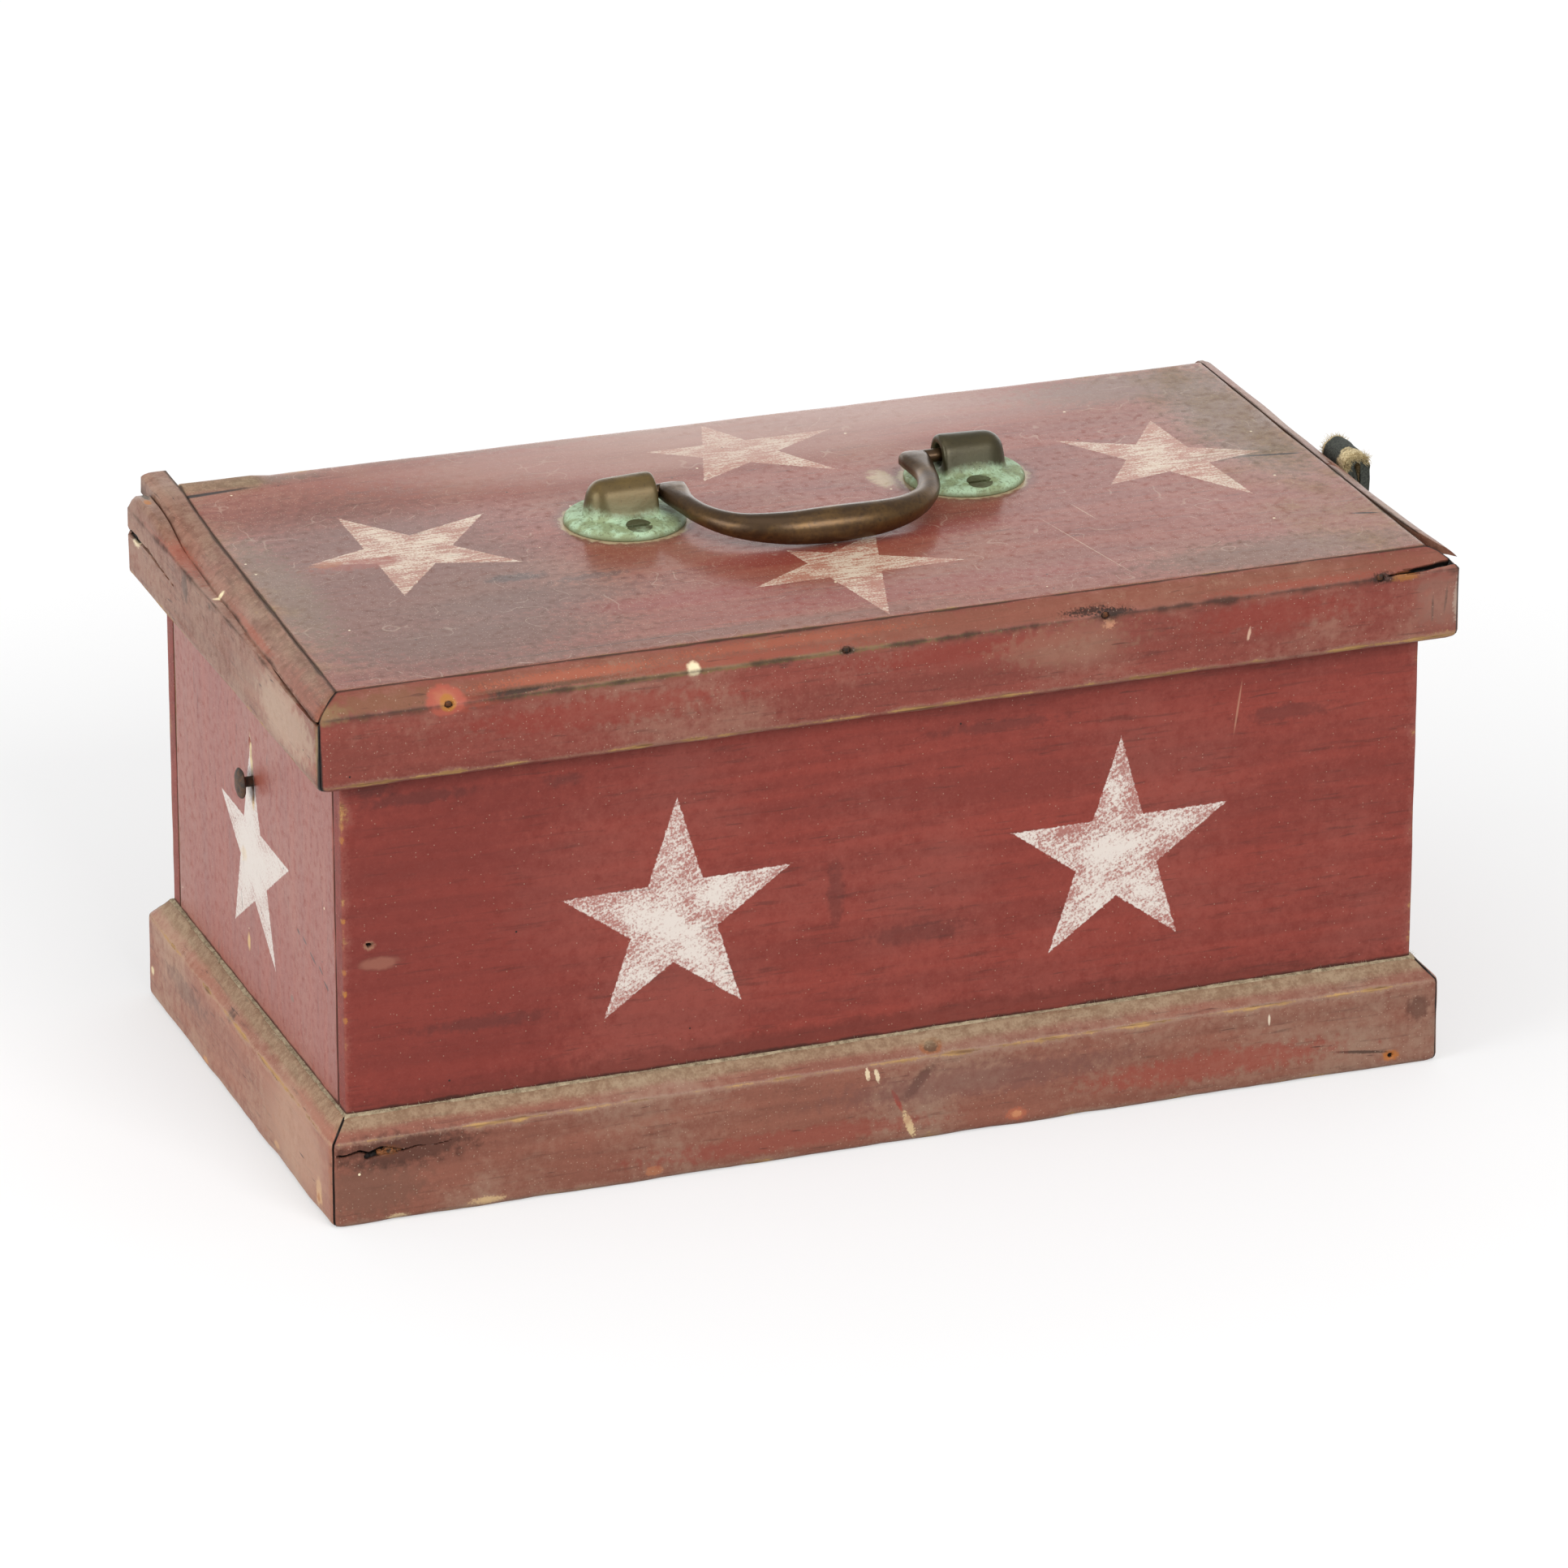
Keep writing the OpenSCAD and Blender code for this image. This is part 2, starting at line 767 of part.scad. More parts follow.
// Middle of the tube in the bail's own plane: across, and out from the pivots
function bail_at(i) =
  i == 0 ? [ear_x, -ear_over] :
  i == bail_steps ? [-ear_x, -ear_over] :
  let (a = 180 * (i - 1) / (bail_steps - 2))
    [ear_x * signed_pow(cos(a), 2 / bail_square), bail_reach * pow(sin(a), 2 / bail_square)];

// How much of the grip's swelling and of the ear's flatness a place has
function grip_share(p) = pow(max(0, 1 - pow(p[0] / ear_x, 2)), grip_fullness);
function ear_share(p) = 1 - smooth(p[1] / ear_length);
function half_width(p, tip) =
  blend(blend(arm_r, grip_r, grip_share(p)), ear_half_w, ear_share(p)) * (tip ? ear_thin : 1);
function half_depth(p, tip) =
  blend(blend(arm_r * arm_flat, grip_r, grip_share(p)), ear_half_t, ear_share(p)) * (tip ? ear_thin : 1);

function bail_ring(i) =
  let (
    p = bail_at(i),
    q = bail_at(min(bail_steps, i + 1)) - bail_at(max(0, i - 1)),
    across = [q[1], -q[0]] / norm(q),
    tip = i == 0 || i == bail_steps,
    w = half_width(p, tip),
    d = half_depth(p, tip)
  )
    [for (k = [0:bail_sides - 1])
      let (a = 360 * k / bail_sides)
        [p[0] + w * cos(a) * across[0], -(p[1] + w * cos(a) * across[1]), d * sin(a)]];

module bail_tube() {
  points = [for (i = [0:bail_steps]) each bail_ring(i)];
  last = bail_steps * bail_sides;
  sides = [
    for (i = [0:bail_steps - 1], k = [0:bail_sides - 1])
      let (a = i * bail_sides + k, b = i * bail_sides + (k + 1) % bail_sides)
        [a, a + bail_sides, b + bail_sides, b]
  ];
  ends = [
    [for (k = [0:bail_sides - 1]) k],
    [for (k = [bail_sides - 1:-1:0]) last + k]
  ];
  polyhedron(points, concat(sides, ends), convexity = 6);
}

module handle_bail() {
  neck = ear_half_w + bail_room + pivot_reach;
  color(bronze)
    translate([handle_x - bail_slide, handle_y, pivot_z])
      rotate([bail_tilt, 0, 0])
        union() {
          bail_tube();
          for (side = [-1, 1])
            translate([side * (ear_x + neck / 2), 0, 0])
              rotate([0, 90, 0])
                cylinder(r = pivot_r, h = neck, center = true);
        }
}

// Leather strap stub: folded double and tacked to the right lip

module strap_stub() {
  fold_out = strap_t + strap_fold_r;
  color(old_leather)
    difference() {
      translate([strip_out, strap_y + strap_w / 2, strap_top])
        rotate([90, 0, 0])
          linear_extrude(strap_w) {
            translate([0, -strap_flap]) square([strap_t, strap_flap]);
            translate([fold_out + strap_fold_r, -strap_tab]) square([strap_t, strap_tab]);
            translate([fold_out, 0])
              difference() {
                circle(r = fold_out);
                circle(r = strap_fold_r);
                translate([-strap_out, -2 * strap_out]) square(2 * strap_out);
              }
          }
      at_strap_tacks() strap_tack();
    }
}

module at_strap_tacks() {
  for (end = [-1, 1])
    translate([strip_out + strap_t, strap_y + end * strap_w / 4, strap_z + tack_head + tack_margin])
      rotate([0, 90, 0])
        children();
}

// A round-headed tack with a square shank
tack_crown = 0.7;

module strap_tack() {
  shank = strap_t + strip_t - 2 * point_room;
  cylinder(r1 = tack_head, r2 = tack_head * tack_crown, h = strap_fold_r * tack_crown);
  translate([-nail_w / 2, -nail_w / 2, -shank])
    cube([nail_w, nail_w, shank + fit]);
}

module strap_tacks() { color(rusty_iron) at_strap_tacks() strap_tack(); }

front_board();
back_board();
left_end_board();
right_end_board();
bottom_board();
plinth_front();
plinth_back();
plinth_left();
plinth_right();
case_nails();
bottom_nails();
plinth_nails();
end_nail();
hinge_case_leaf_left();
hinge_case_leaf_right();
hinge_case_screws();
hinge_pin_left();
hinge_pin_right();
lid_board();
lid_strip_front();
lid_strip_left();
lid_cap_left();
lid_strip_right();
lid_splinter_right();
lid_nails();
hinge_lid_leaf_left();
hinge_lid_leaf_right();
hinge_lid_screws();
handle_base_left();
handle_base_right();
handle_screws();
handle_bail();
strap_stub();
strap_tacks();
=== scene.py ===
"""Dresses the antique sailors box: worn painted boards, stars, brass handle and leather stub."""

import json
import logging
import math
import random
from dataclasses import dataclass
from enum import Enum
from typing import Callable, Iterable

import bmesh
import bpy
from mathutils import Matrix, Vector, geometry, noise


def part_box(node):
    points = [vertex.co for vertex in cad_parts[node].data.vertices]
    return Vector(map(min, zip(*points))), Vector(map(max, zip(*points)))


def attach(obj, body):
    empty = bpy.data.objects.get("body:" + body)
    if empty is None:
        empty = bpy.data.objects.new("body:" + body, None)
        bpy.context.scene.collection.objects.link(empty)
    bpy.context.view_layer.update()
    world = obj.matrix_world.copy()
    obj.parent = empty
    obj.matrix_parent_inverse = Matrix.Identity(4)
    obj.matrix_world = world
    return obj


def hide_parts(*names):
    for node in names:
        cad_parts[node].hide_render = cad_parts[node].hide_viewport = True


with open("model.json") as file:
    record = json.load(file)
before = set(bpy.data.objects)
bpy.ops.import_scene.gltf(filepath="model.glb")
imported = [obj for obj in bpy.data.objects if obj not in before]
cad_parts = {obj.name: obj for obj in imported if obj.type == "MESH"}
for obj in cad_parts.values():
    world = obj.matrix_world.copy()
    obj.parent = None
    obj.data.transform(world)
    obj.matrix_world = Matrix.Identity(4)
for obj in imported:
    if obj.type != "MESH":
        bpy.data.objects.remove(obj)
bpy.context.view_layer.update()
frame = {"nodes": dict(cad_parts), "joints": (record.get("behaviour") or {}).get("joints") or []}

LOG = logging.getLogger("sailors_box")
MM = 0.001
# Faces smaller or larger than these, in square millimetres, aren't split near a groove
FINEST_AREA = 0.12
COARSEST_AREA = 120.0
# Points closer than this, in millimetres, are merged
MERGED = 1e-3
SHARP = math.radians(48)
# A face is unpainted where its normal has less than this share of the outward direction
INWARD = -0.7
WHITE = (1.0, 1.0, 1.0, 1.0)
Point = tuple[float, float]
Triple = tuple[float, float, float]
Row = tuple[float | str, ...]
Table = tuple[Row, ...]
BMVert = bmesh.types.BMVert
BMEdge = bmesh.types.BMEdge
Verts = Iterable[BMVert]
Measure = Callable[[Vector], float]
Put = Callable[[float, float, float], Vector]
Material = bpy.types.Material
Socket = bpy.types.NodeSocket


class Axis(Enum):
    """An axis of the box: along it, from front to back, and up."""

    X = 0
    Y = 1
    Z = 2


class Body(Enum):
    """The three moving bodies of the box."""

    CASE = "case"
    LID = "lid"
    BAIL = "bail"


class Slot(Enum):
    """The record's material slots."""

    RED = "red_paint"
    WORN = "worn_red"
    BARE = "bare_wood"
    BRONZE = "bronze"
    IRON = "rusty_iron"
    LEATHER = "old_leather"


def hue(code: str) -> Triple:
    """Returns the linear red, green and blue of a screen colour in hexadecimal digits."""
    parts = [int(code[i : i + 2], 16) / 255 for i in (1, 3, 5)]
    return tuple(c / 12.92 if c <= 0.04045 else ((c + 0.055) / 1.055) ** 2.4 for c in parts)


def node_box(node: str) -> tuple[Vector, Vector]:
    """Returns a node's lowest and highest corners in millimetres."""
    low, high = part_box(node)
    return low / MM, high / MM


def rough(place: Vector, scale: float, seed: float) -> float:
    """Returns smooth noise from -1 to 1 at a place in millimetres."""
    return noise.noise(place * scale + Vector((seed, 1.7 * seed, 2.3 * seed)))


def smooth(value: float) -> float:
    """Returns an eased step from 0 to 1."""
    t = min(1.0, max(0.0, value))
    return t * t * (3 - 2 * t)


def bent(value: float, power: float) -> float:
    """Returns a value's size to a power, with the value's sign."""
    return math.copysign(abs(value) ** power, value)


def placed(name: str, data: bpy.types.ID | None) -> bpy.types.Object:
    """Puts an object with some data in the scene.

    Args:
        name: Its name.
        data: Its mesh, camera or lamp.

    Returns:
        The object.
    """
    made = bpy.data.objects.new(name, data)
    bpy.context.scene.collection.objects.link(made)
    return made


class Tree:
    """A surface's node tree, written socket by socket, in millimetres."""

    def __init__(self, name: str, world: bpy.types.World | None = None) -> None:
        """Starts a material with its shader, or takes a world's nodes.

        Args:
            name: Name of the material.
            world: World in the material's place.
        """
        self.material = world or bpy.data.materials.new(name)
        self.material.use_nodes = True
        self.nodes = self.material.node_tree.nodes
        self.links = self.material.node_tree.links
        self.shader = self.nodes.get("Principled BSDF")

    def put(self, socket: Socket, value: object) -> None:
        """Links or sets a socket.

        Args:
            socket: Socket to fill.
            value: Another socket, a screen colour, or a plain value.
        """
        if isinstance(value, bpy.types.NodeSocket):
            self.links.new(value, socket)
        elif isinstance(value, str):
            socket.default_value = (*hue(value), 1.0)
        else:
            socket.default_value = value

    def make(self, kind: str, inputs: dict[str | int, object], **settings: object) -> bpy.types.Node:
        """Adds a node.

        Args:
            kind: Blender's name for the node.
            inputs: Values or links by socket name or number.
            settings: Other properties of the node.

        Returns:
            The node.
        """
        node = self.nodes.new(kind)
        for name, value in settings.items():
            setattr(node, name, value)
        for name, value in inputs.items():
            self.put(node.inputs[name], value)
        return node

    def math(self, operation: str, *values: object) -> Socket:
        """Returns the result of a math node."""
        return self.make("ShaderNodeMath", dict(enumerate(values)), operation=operation).outputs[0]

    def times(self, *values: object) -> Socket:
        """Returns the product of two values."""
        return self.math("MULTIPLY", *values)

    def plus(self, *values: object) -> Socket:
        """Returns the sum of two values."""
        return self.math("ADD", *values)

    def times_plus(self, *values: object) -> Socket:
        """Returns the product of two values, with a third added."""
        return self.math("MULTIPLY_ADD", *values)

    def vector(self, operation: str, *values: object) -> bpy.types.Node:
        """Returns a vector math node."""
        return self.make("ShaderNodeVectorMath", dict(enumerate(values)), operation=operation)

    def millimetres(self) -> Socket:
        """Returns the place on the piece in millimetres."""
        place = self.nodes.new("ShaderNodeTexCoord").outputs["Object"]
        return self.vector("MULTIPLY", place, (1 / MM,) * 3).outputs[0]

    def stretch(self, place: Socket, axis: Axis, share: float) -> Socket:
        """Returns the place with one axis drawn out, so that noise runs along it."""
        factors = [share if a is axis else 1.0 for a in Axis]
        return self.vector("MULTIPLY", place, factors).outputs[0]

    def noise(self, place: Socket, scale: float, detail: float = 3.0, twist: float = 0.0) -> Socket:
        """Returns noise from 0 to 1, by its waves per millimetre, octaves and distortion."""
        inputs = {"Vector": place, "Scale": scale, "Detail": detail, "Roughness": 0.58, "Distortion": twist}
        return self.make("ShaderNodeTexNoise", inputs).outputs[0]

    def ramp(self, value: object, low: float, high: float, top: float = 1.0) -> Socket:
        """Returns an eased step from 0 to top as a value goes from low to high."""
        inputs = {"Value": value, "From Min": low, "From Max": high, "To Max": top}
        return self.make("ShaderNodeMapRange", inputs, interpolation_type="SMOOTHSTEP").outputs[0]

    def mix(self, share: object, first: object, second: object) -> Socket:
        """Returns a blend of two colours."""
        inputs = {0: share, 6: first, 7: second}
        return self.make("ShaderNodeMix", inputs, data_type="RGBA").outputs[2]

    def tint(self, first: object, second: object, value: object, low: float, high: float, top: float = 1.0
             ) -> Socket:
        """Returns a colour that goes over to a second one as a value goes from low to high."""
        return self.mix(self.ramp(value, low, high, top), first, second)

    def mark(self, name: str) -> Socket:
        """Returns what the piece's points carry under a name."""
        return self.make("ShaderNodeAttribute", {}, attribute_name=name).outputs["Fac"]

    def parts(self, place: Socket) -> list[Socket]:
        """Returns the three coordinates of a place."""
        return list(self.make("ShaderNodeSeparateXYZ", {0: place}).outputs)

    def flecks(self, place: Socket, scale: float, size: float, share: float) -> Socket:
        """Adds scattered round flecks.

        Args:
            place: Place on the piece.
            scale: Cells per millimetre.
            size: Radius of a fleck as a share of its cell.
            share: Share of the cells that hold one.

        Returns:
            Mask of the flecks.
        """
        cells = self.make("ShaderNodeTexVoronoi", {"Vector": place, "Scale": scale})
        chosen = self.math("LESS_THAN", self.parts(cells.outputs["Color"])[0], share)
        return self.times(self.ramp(cells.outputs["Distance"], size, 0.6 * size), chosen)

    def hairs(self, place: Socket, scale: float, share: float) -> Socket:
        """Adds short curved hairs and scratches.

        Args:
            place: Place on the piece.
            scale: Curves per millimetre.
            share: Share of the surface that has them, from 0 to 1.

        Returns:
            Mask of the hairs.
        """
        curve = self.math("ABSOLUTE", self.plus(self.noise(place, scale, 1.0), -0.5))
        where = self.noise(self.vector("ADD", place, (31.0, 17.0, 53.0)).outputs[0], 0.055, 2.0)
        thin = self.ramp(curve, 0.16 * scale, 0.05 * scale)
        return self.times(thin, self.ramp(where, 0.78 - 0.4 * share, 0.84 - 0.4 * share))

    def star(self, flat: Socket, tips: tuple[Point, ...]) -> Socket:
        """Measures how far inside a five-pointed star a place lies.

        A place is inside where it is on the inner side of at least four of the five lines through the tips.

        Args:
            flat: Place on the face, with 1 as its third part.
            tips: The star's tips in order, in millimetres.

        Returns:
            Depth inside the star's outline in millimetres.
        """
        centre = sum((Vector(tip) for tip in tips), Vector((0, 0))) / len(tips)
        depths = []
        for i, tip in enumerate(tips):
            line = Vector(tips[(i + 2) % 5]) - Vector(tip)
            inward = Vector((-line.y, line.x)).normalized()
            if inward.dot(centre - Vector(tip)) < 0:
                inward.negate()
            side = (inward.x, inward.y, -inward.dot(Vector(tip)))
            depths.append(self.vector("DOT_PRODUCT", flat, side).outputs["Value"])
        least = self.math("MINIMUM", depths[0], depths[1])
        second = self.math("MAXIMUM", depths[0], depths[1])
        for depth in depths[2:]:
            second = self.math("MINIMUM", second, self.math("MAXIMUM", least, depth))
            least = self.math("MINIMUM", least, depth)
        return second

    def surface(self, values: dict[str, object]) -> None:
        """Fills the shader's sockets by name."""
        for name, value in values.items():
            self.put(self.shader.inputs[name], value)

    def relief(self, height: object, strength: float) -> None:
        """Bumps the surface by a height in millimetres."""
        inputs = {"Height": height, "Strength": strength, "Distance": MM}
        self.surface({"Normal": self.make("ShaderNodeBump", inputs).outputs[0]})


@dataclass(frozen=True)
class Face:
    """A flat face of a piece: what it looks along, its level and how deep its patches reach."""

    axis: Axis
    level: float
    deep: float = 5.0

    def blots(self, rows: Table) -> tuple["Blot", ...]:
        """Returns the patches of a table."""
        return tuple(Blot(self, *row) for row in rows)


@dataclass(frozen=True)
class Blot:
    """A soft-edged patch of a face: a knot, stain, filler, drip or scratch, or painted shade or sheen, in
    millimetres and degrees.
    """

    face: Face
    across: float
    along: float
    wide: float
    tall: float
    colour: str
    strength: float = 0.85
    ragged: float = 1.0
    turn: float = 0.0
    soft: float = 0.5
    sunk: float = 0.0
    own_depth: float = 0.0
    finest: float = 3.0

    def triple(self, first: float, second: float, depth: float) -> Triple:
        """Returns two values of the face and one of its depth in the order of the axes."""
        values = [first, second]
        values.insert(self.face.axis.value, depth)
        return tuple(values)

    def reach(self) -> Triple:
        """Returns how far the patch reaches along each axis."""
        return self.triple(self.wide, self.tall, self.own_depth or self.face.deep)

    def is_fine(self) -> bool:
        """Tells whether the patch is so small that fine noise frays its rim."""
        return min(self.reach()) < self.finest

    def lay(self, tree: Tree, place: Socket, jitter: Socket, colour: Socket) -> Socket:
        """Lays the patch over a colour.

        Args:
            tree: Tree to add to.
            place: Place on the piece.
            jitter: Noise from 0 to 1 that frays the rim.
            colour: Colour under the patch.

        Returns:
            The colour with the patch.
        """
        middle = self.triple(self.across, self.along, self.face.level + self.sunk)
        turn = self.triple(0.0, 0.0, math.radians(self.turn))
        inputs = {"Vector": place, "Location": middle, "Rotation": turn, "Scale": self.reach()}
        local = tree.make("ShaderNodeMapping", inputs, vector_type="TEXTURE").outputs[0]
        away = tree.vector("LENGTH", local).outputs["Value"]
        frayed = tree.times_plus(jitter, self.ragged, away)
        rim = 1 + 0.5 * self.ragged
        mask = tree.ramp(frayed, rim, rim - self.soft - 0.05 * self.ragged, self.strength)
        return tree.mix(mask, colour, self.colour)


@dataclass(frozen=True)
class PaintedWood:
    """Old varnished paint on a board: mottled, rubbed, worn at the arrises, stencilled with stars."""

    name: str
    grain: Axis = Axis.X
    face: tuple[Axis, Axis] = (Axis.X, Axis.Z)
    paint: str = "#87392f"
    shade: str = "#753129"
    faded: str = "#8b5046"
    fade: float = 0.3
    dirt: str = "#3f2620"
    pores: float = 0.5
    wood: str = "#b08a55"
    wear: float = 0.5
    star_colour: str = "#d8cfc6"
    ghost: str = "#a2554a"
    star_rub: float = 0.5
    stroke: float = 25.0
    streak: float = 0.5
    stars: tuple[tuple[Point, ...], ...] = ()
    blots: tuple[Blot, ...] = ()
    crust_and_shade_rings: tuple[Triple, ...] = ()
    over: tuple[Blot, ...] = ()
    specks: float = 0.1
    varnish: float = 0.15
    blur: float = 0.25
    dust: float = 0.7

    def flat(self, tree: Tree, place: Socket, third: float) -> Socket:
        """Returns the place on the board's face, with a third part of the caller's."""
        parts = tree.parts(place)
        first, second = (parts[axis.value] for axis in self.face)
        return tree.make("ShaderNodeCombineXYZ", {0: first, 1: second, 2: third}).outputs[0]

    def rubbed_star(self, tree: Tree, place: Socket, tips: tuple[Point, ...]) -> tuple[Socket, Socket]:
        """Makes the mask of a star whose paint has rubbed thin towards its arms.

        Args:
            tree: Tree to add to.
            place: Place on the board.
            tips: The star's tips.

        Returns:
            Masks of the star's outline, and of the paint left in it.
        """
        depth = tree.star(self.flat(tree, place, 1.0), tips)
        fringe = tree.times_plus(tree.noise(place, 0.8, 4.0), 1.6, -0.8)
        outline = tree.ramp(tree.plus(depth, fringe), -0.15, 0.25)
        speckle = tree.noise(place, 1.3, 6.0)
        inputs = {"Vector": self.flat(tree, place, 0.0), "Rotation": (0.0, 0.0, math.radians(self.stroke)),
                  "Scale": (7.0, 1.0, 1.0)}
        strokes = tree.make("ShaderNodeMapping", inputs, vector_type="TEXTURE").outputs[0]
        brushed = tree.noise(strokes, 0.7, 5.0, 0.6)
        cloud = tree.noise(place, 0.06, 3.0)
        fullness = tree.times_plus(tree.math("MINIMUM", depth, 12.0), 0.013, speckle)
        cover = tree.plus(fullness, tree.times_plus(cloud, 0.6, tree.times(brushed, self.streak)))
        cover = tree.plus(cover, tree.ramp(depth, 1.4, 0.3, 0.05))
        thin = 0.55 + 0.5 * self.streak + 0.25 * self.star_rub
        kept = 0.22 - 0.15 * self.star_rub
        return outline, tree.times(outline, tree.plus(tree.ramp(cover, thin, thin + 0.3, 0.95 - kept), kept))

    def crusted_and_shaded(self, tree: Tree, place: Socket, fray: Socket, colour: Socket) -> Socket:
        """Lays a dark ring, partly grime and partly painted shade, and beige smears of old polish round what
        is screwed to the board.

        Args:
            tree: Tree to add to.
            place: Place on the board.
            fray: Noise that frays the rings.
            colour: Colour under them.

        Returns:
            The colour with the rings.
        """
        for across, along, radius in self.crust_and_shade_rings:
            away = tree.vector("DISTANCE", self.flat(tree, place, 0.0), (across, along, 0.0)).outputs["Value"]
            off = tree.times_plus(fray, 6.0, tree.plus(away, -radius))
            # Dark ring round each flange: grime, and painted shade round the casting's foot.
            colour = tree.tint(colour, "#4d3329", off, 9.0, 4.0, 0.45)
            colour = tree.tint(colour, "#b3a380", off, 5.4, 3.4, 0.75)
        return colour

    def material(self) -> Material:
        """Builds the paint.

        Returns:
            The material.
        """
        tree = Tree(self.name)
        place = tree.millimetres()
        run = tree.stretch(place, self.grain, 0.07)
        broad = tree.noise(place, 0.016, 4.0)
        smear = tree.noise(run, 0.12, 5.0, 0.4)
        fibre = tree.noise(run, 0.7, 3.0)
        grit = tree.noise(place, 1.2, 4.0)
        fray = tree.noise(place, 0.3, 5.0)
        colour = tree.tint(self.shade, self.paint, tree.plus(smear, tree.times(fray, 0.4)), 0.5, 0.95)
        colour = tree.tint(colour, self.faded, tree.plus(broad, tree.times(fray, 0.35)), 0.6, 0.9, self.fade)
        colour = tree.tint(colour, self.dirt, fibre, 0.44, 0.27, 0.4)
        colour = tree.tint(colour, self.faded, grit, 0.56, 0.78, 0.4)
        colour = tree.tint(colour, self.dirt, grit, 0.42, 0.25, 0.3)
        height = tree.times(fibre, 0.12)
        for blot in self.blots:
            colour = blot.lay(tree, place, grit if blot.is_fine() else fray, colour)
        for tips in self.stars:
            outline, mask = self.rubbed_star(tree, place, tips)
            colour = tree.mix(tree.times(outline, 0.6), colour, self.ghost)
            colour = tree.mix(mask, colour, self.star_colour)
            height = tree.times_plus(mask, 0.06, height)
        dash = tree.noise(tree.stretch(place, self.grain, 0.1), 0.6, 2.0)
        colour = tree.tint(colour, self.dirt, dash, 0.68, 0.76, self.pores)
        colour = self.crusted_and_shaded(tree, place, fray, colour)
        colour = self.littered(tree, place, colour)
        colour, bare = self.worn(tree, colour, place, fray, grit, fibre)
        for blot in self.over:
            colour = blot.lay(tree, place, fray, colour)
        sheen = tree.times(tree.ramp(bare, 1.0, 0.0, self.varnish), tree.ramp(fray, 0.1, 0.55))
        tree.surface({"Base Color": colour, "Roughness": 0.62, "Specular IOR Level": 0.2,
                      "Coat Weight": sheen, "Coat Roughness": tree.times_plus(smear, 0.14, self.blur)})
        tree.relief(tree.times_plus(grit, 0.12, height), 0.5)
        return tree.material

    def littered(self, tree: Tree, place: Socket, colour: Socket) -> Socket:
        """Scatters specks, splashes and hairs over the paint.

        Args:
            tree: Tree to add to.
            place: Place on the board.
            colour: Colour under them.

        Returns:
            The colour with its litter.
        """
        fine = tree.flecks(place, 0.9, 0.24, 1.5 * self.specks)
        colour = tree.mix(tree.times(fine, 0.4), colour, "#b9a28d")
        colour = tree.mix(tree.flecks(place, 0.07, 0.045, self.specks), colour, "#e6d6b4")
        colour = tree.mix(tree.flecks(place, 0.08, 0.04, 0.1 + 0.4 * self.specks), colour, "#2c1c17")
        return tree.mix(tree.times(tree.hairs(place, 0.06, self.specks), 0.22), colour, "#c4b09a")

    def worn(self, tree: Tree, colour: Socket, place: Socket, fray: Socket, grit: Socket, fibre: Socket
             ) -> tuple[Socket, Socket]:
        """Wears the arrises to the wood, and lays dust, grime with some painted shade, and splits over the
        paint.

        Args:
            tree: Tree to add to.
            colour: Colour of the paint.
            place: Place on the board.
            fray: Noise that frays the patches.
            grit: Fine noise.
            fibre: Fine noise along the grain.

        Returns:
            The colour, and the mask of what is no longer glossy.
        """
        patch = tree.noise(place, 0.07, 5.0)
        ragged = tree.plus(tree.times(patch, 1.5), tree.times(grit, 0.5))
        worn = tree.plus(tree.mark("edge"), tree.plus(ragged, -1.45 + 0.45 * self.wear))
        bare = tree.ramp(worn, 0.62, 0.9, 0.9)
        timber = tree.tint("#6b4c30", self.wood, fibre, 0.35, 0.6)
        colour = tree.tint(colour, self.faded, worn, 0.3, 0.7, 0.55)
        colour = tree.mix(bare, colour, timber)
        settled = tree.plus(tree.mark("dust"), tree.plus(tree.times(patch, 0.9), tree.times(grit, 0.4)))
        dust = tree.ramp(settled, 0.9, 1.6)
        film = tree.tint("#7d6850", "#9a886d", tree.plus(fray, tree.times(grit, 0.4)), 0.5, 0.9)
        colour = tree.mix(tree.times(dust, self.dust), colour, film)
        smears = tree.times_plus(patch, 1.4, tree.times(fray, 0.4))
        soiled_and_shaded = tree.plus(tree.mark("grime"), tree.plus(smears, -0.9))
        grime = tree.ramp(soiled_and_shaded, 0.3, 0.85)
        # Darkens by the grime mark and smears: grime, and painted shade where the mark was set along the
        # walls' foot.
        colour = tree.mix(tree.times(grime, 0.8), colour, "#2d2019")
        colour = tree.tint(colour, "#120c09", tree.mark("crack"), 0.35, 0.8)
        return colour, tree.math("MAXIMUM", bare, tree.math("MAXIMUM", dust, grime))


@dataclass(frozen=True)
class BareWood:
    """Unpainted softwood, brown with age."""

    name: str
    grain: Axis = Axis.X
    light: str = "#a5825b"
    dark: str = "#866546"

    def material(self) -> Material:
        """Builds the wood.

        Returns:
            The material.
        """
        tree = Tree(self.name)
        place = tree.millimetres()
        run = tree.stretch(place, self.grain, 0.05)
        rings = tree.noise(run, 0.2, 4.0, 0.5)
        fibre = tree.noise(run, 1.2, 3.0)
        stain = tree.noise(place, 0.02, 4.0)
        colour = tree.tint(self.dark, self.light, rings, 0.3, 0.64)
        colour = tree.tint(colour, self.dark, fibre, 0.5, 0.3, 0.5)
        colour = tree.tint(colour, "#57422f", stain, 0.5, 0.75, 0.4)
        colour = tree.tint(colour, "#120c09", tree.mark("crack"), 0.35, 0.8)
        tree.surface({"Base Color": colour, "Roughness": 0.78})
        tree.relief(tree.times_plus(rings, 0.5, tree.times(fibre, 0.3)), 0.5)
        return tree.material


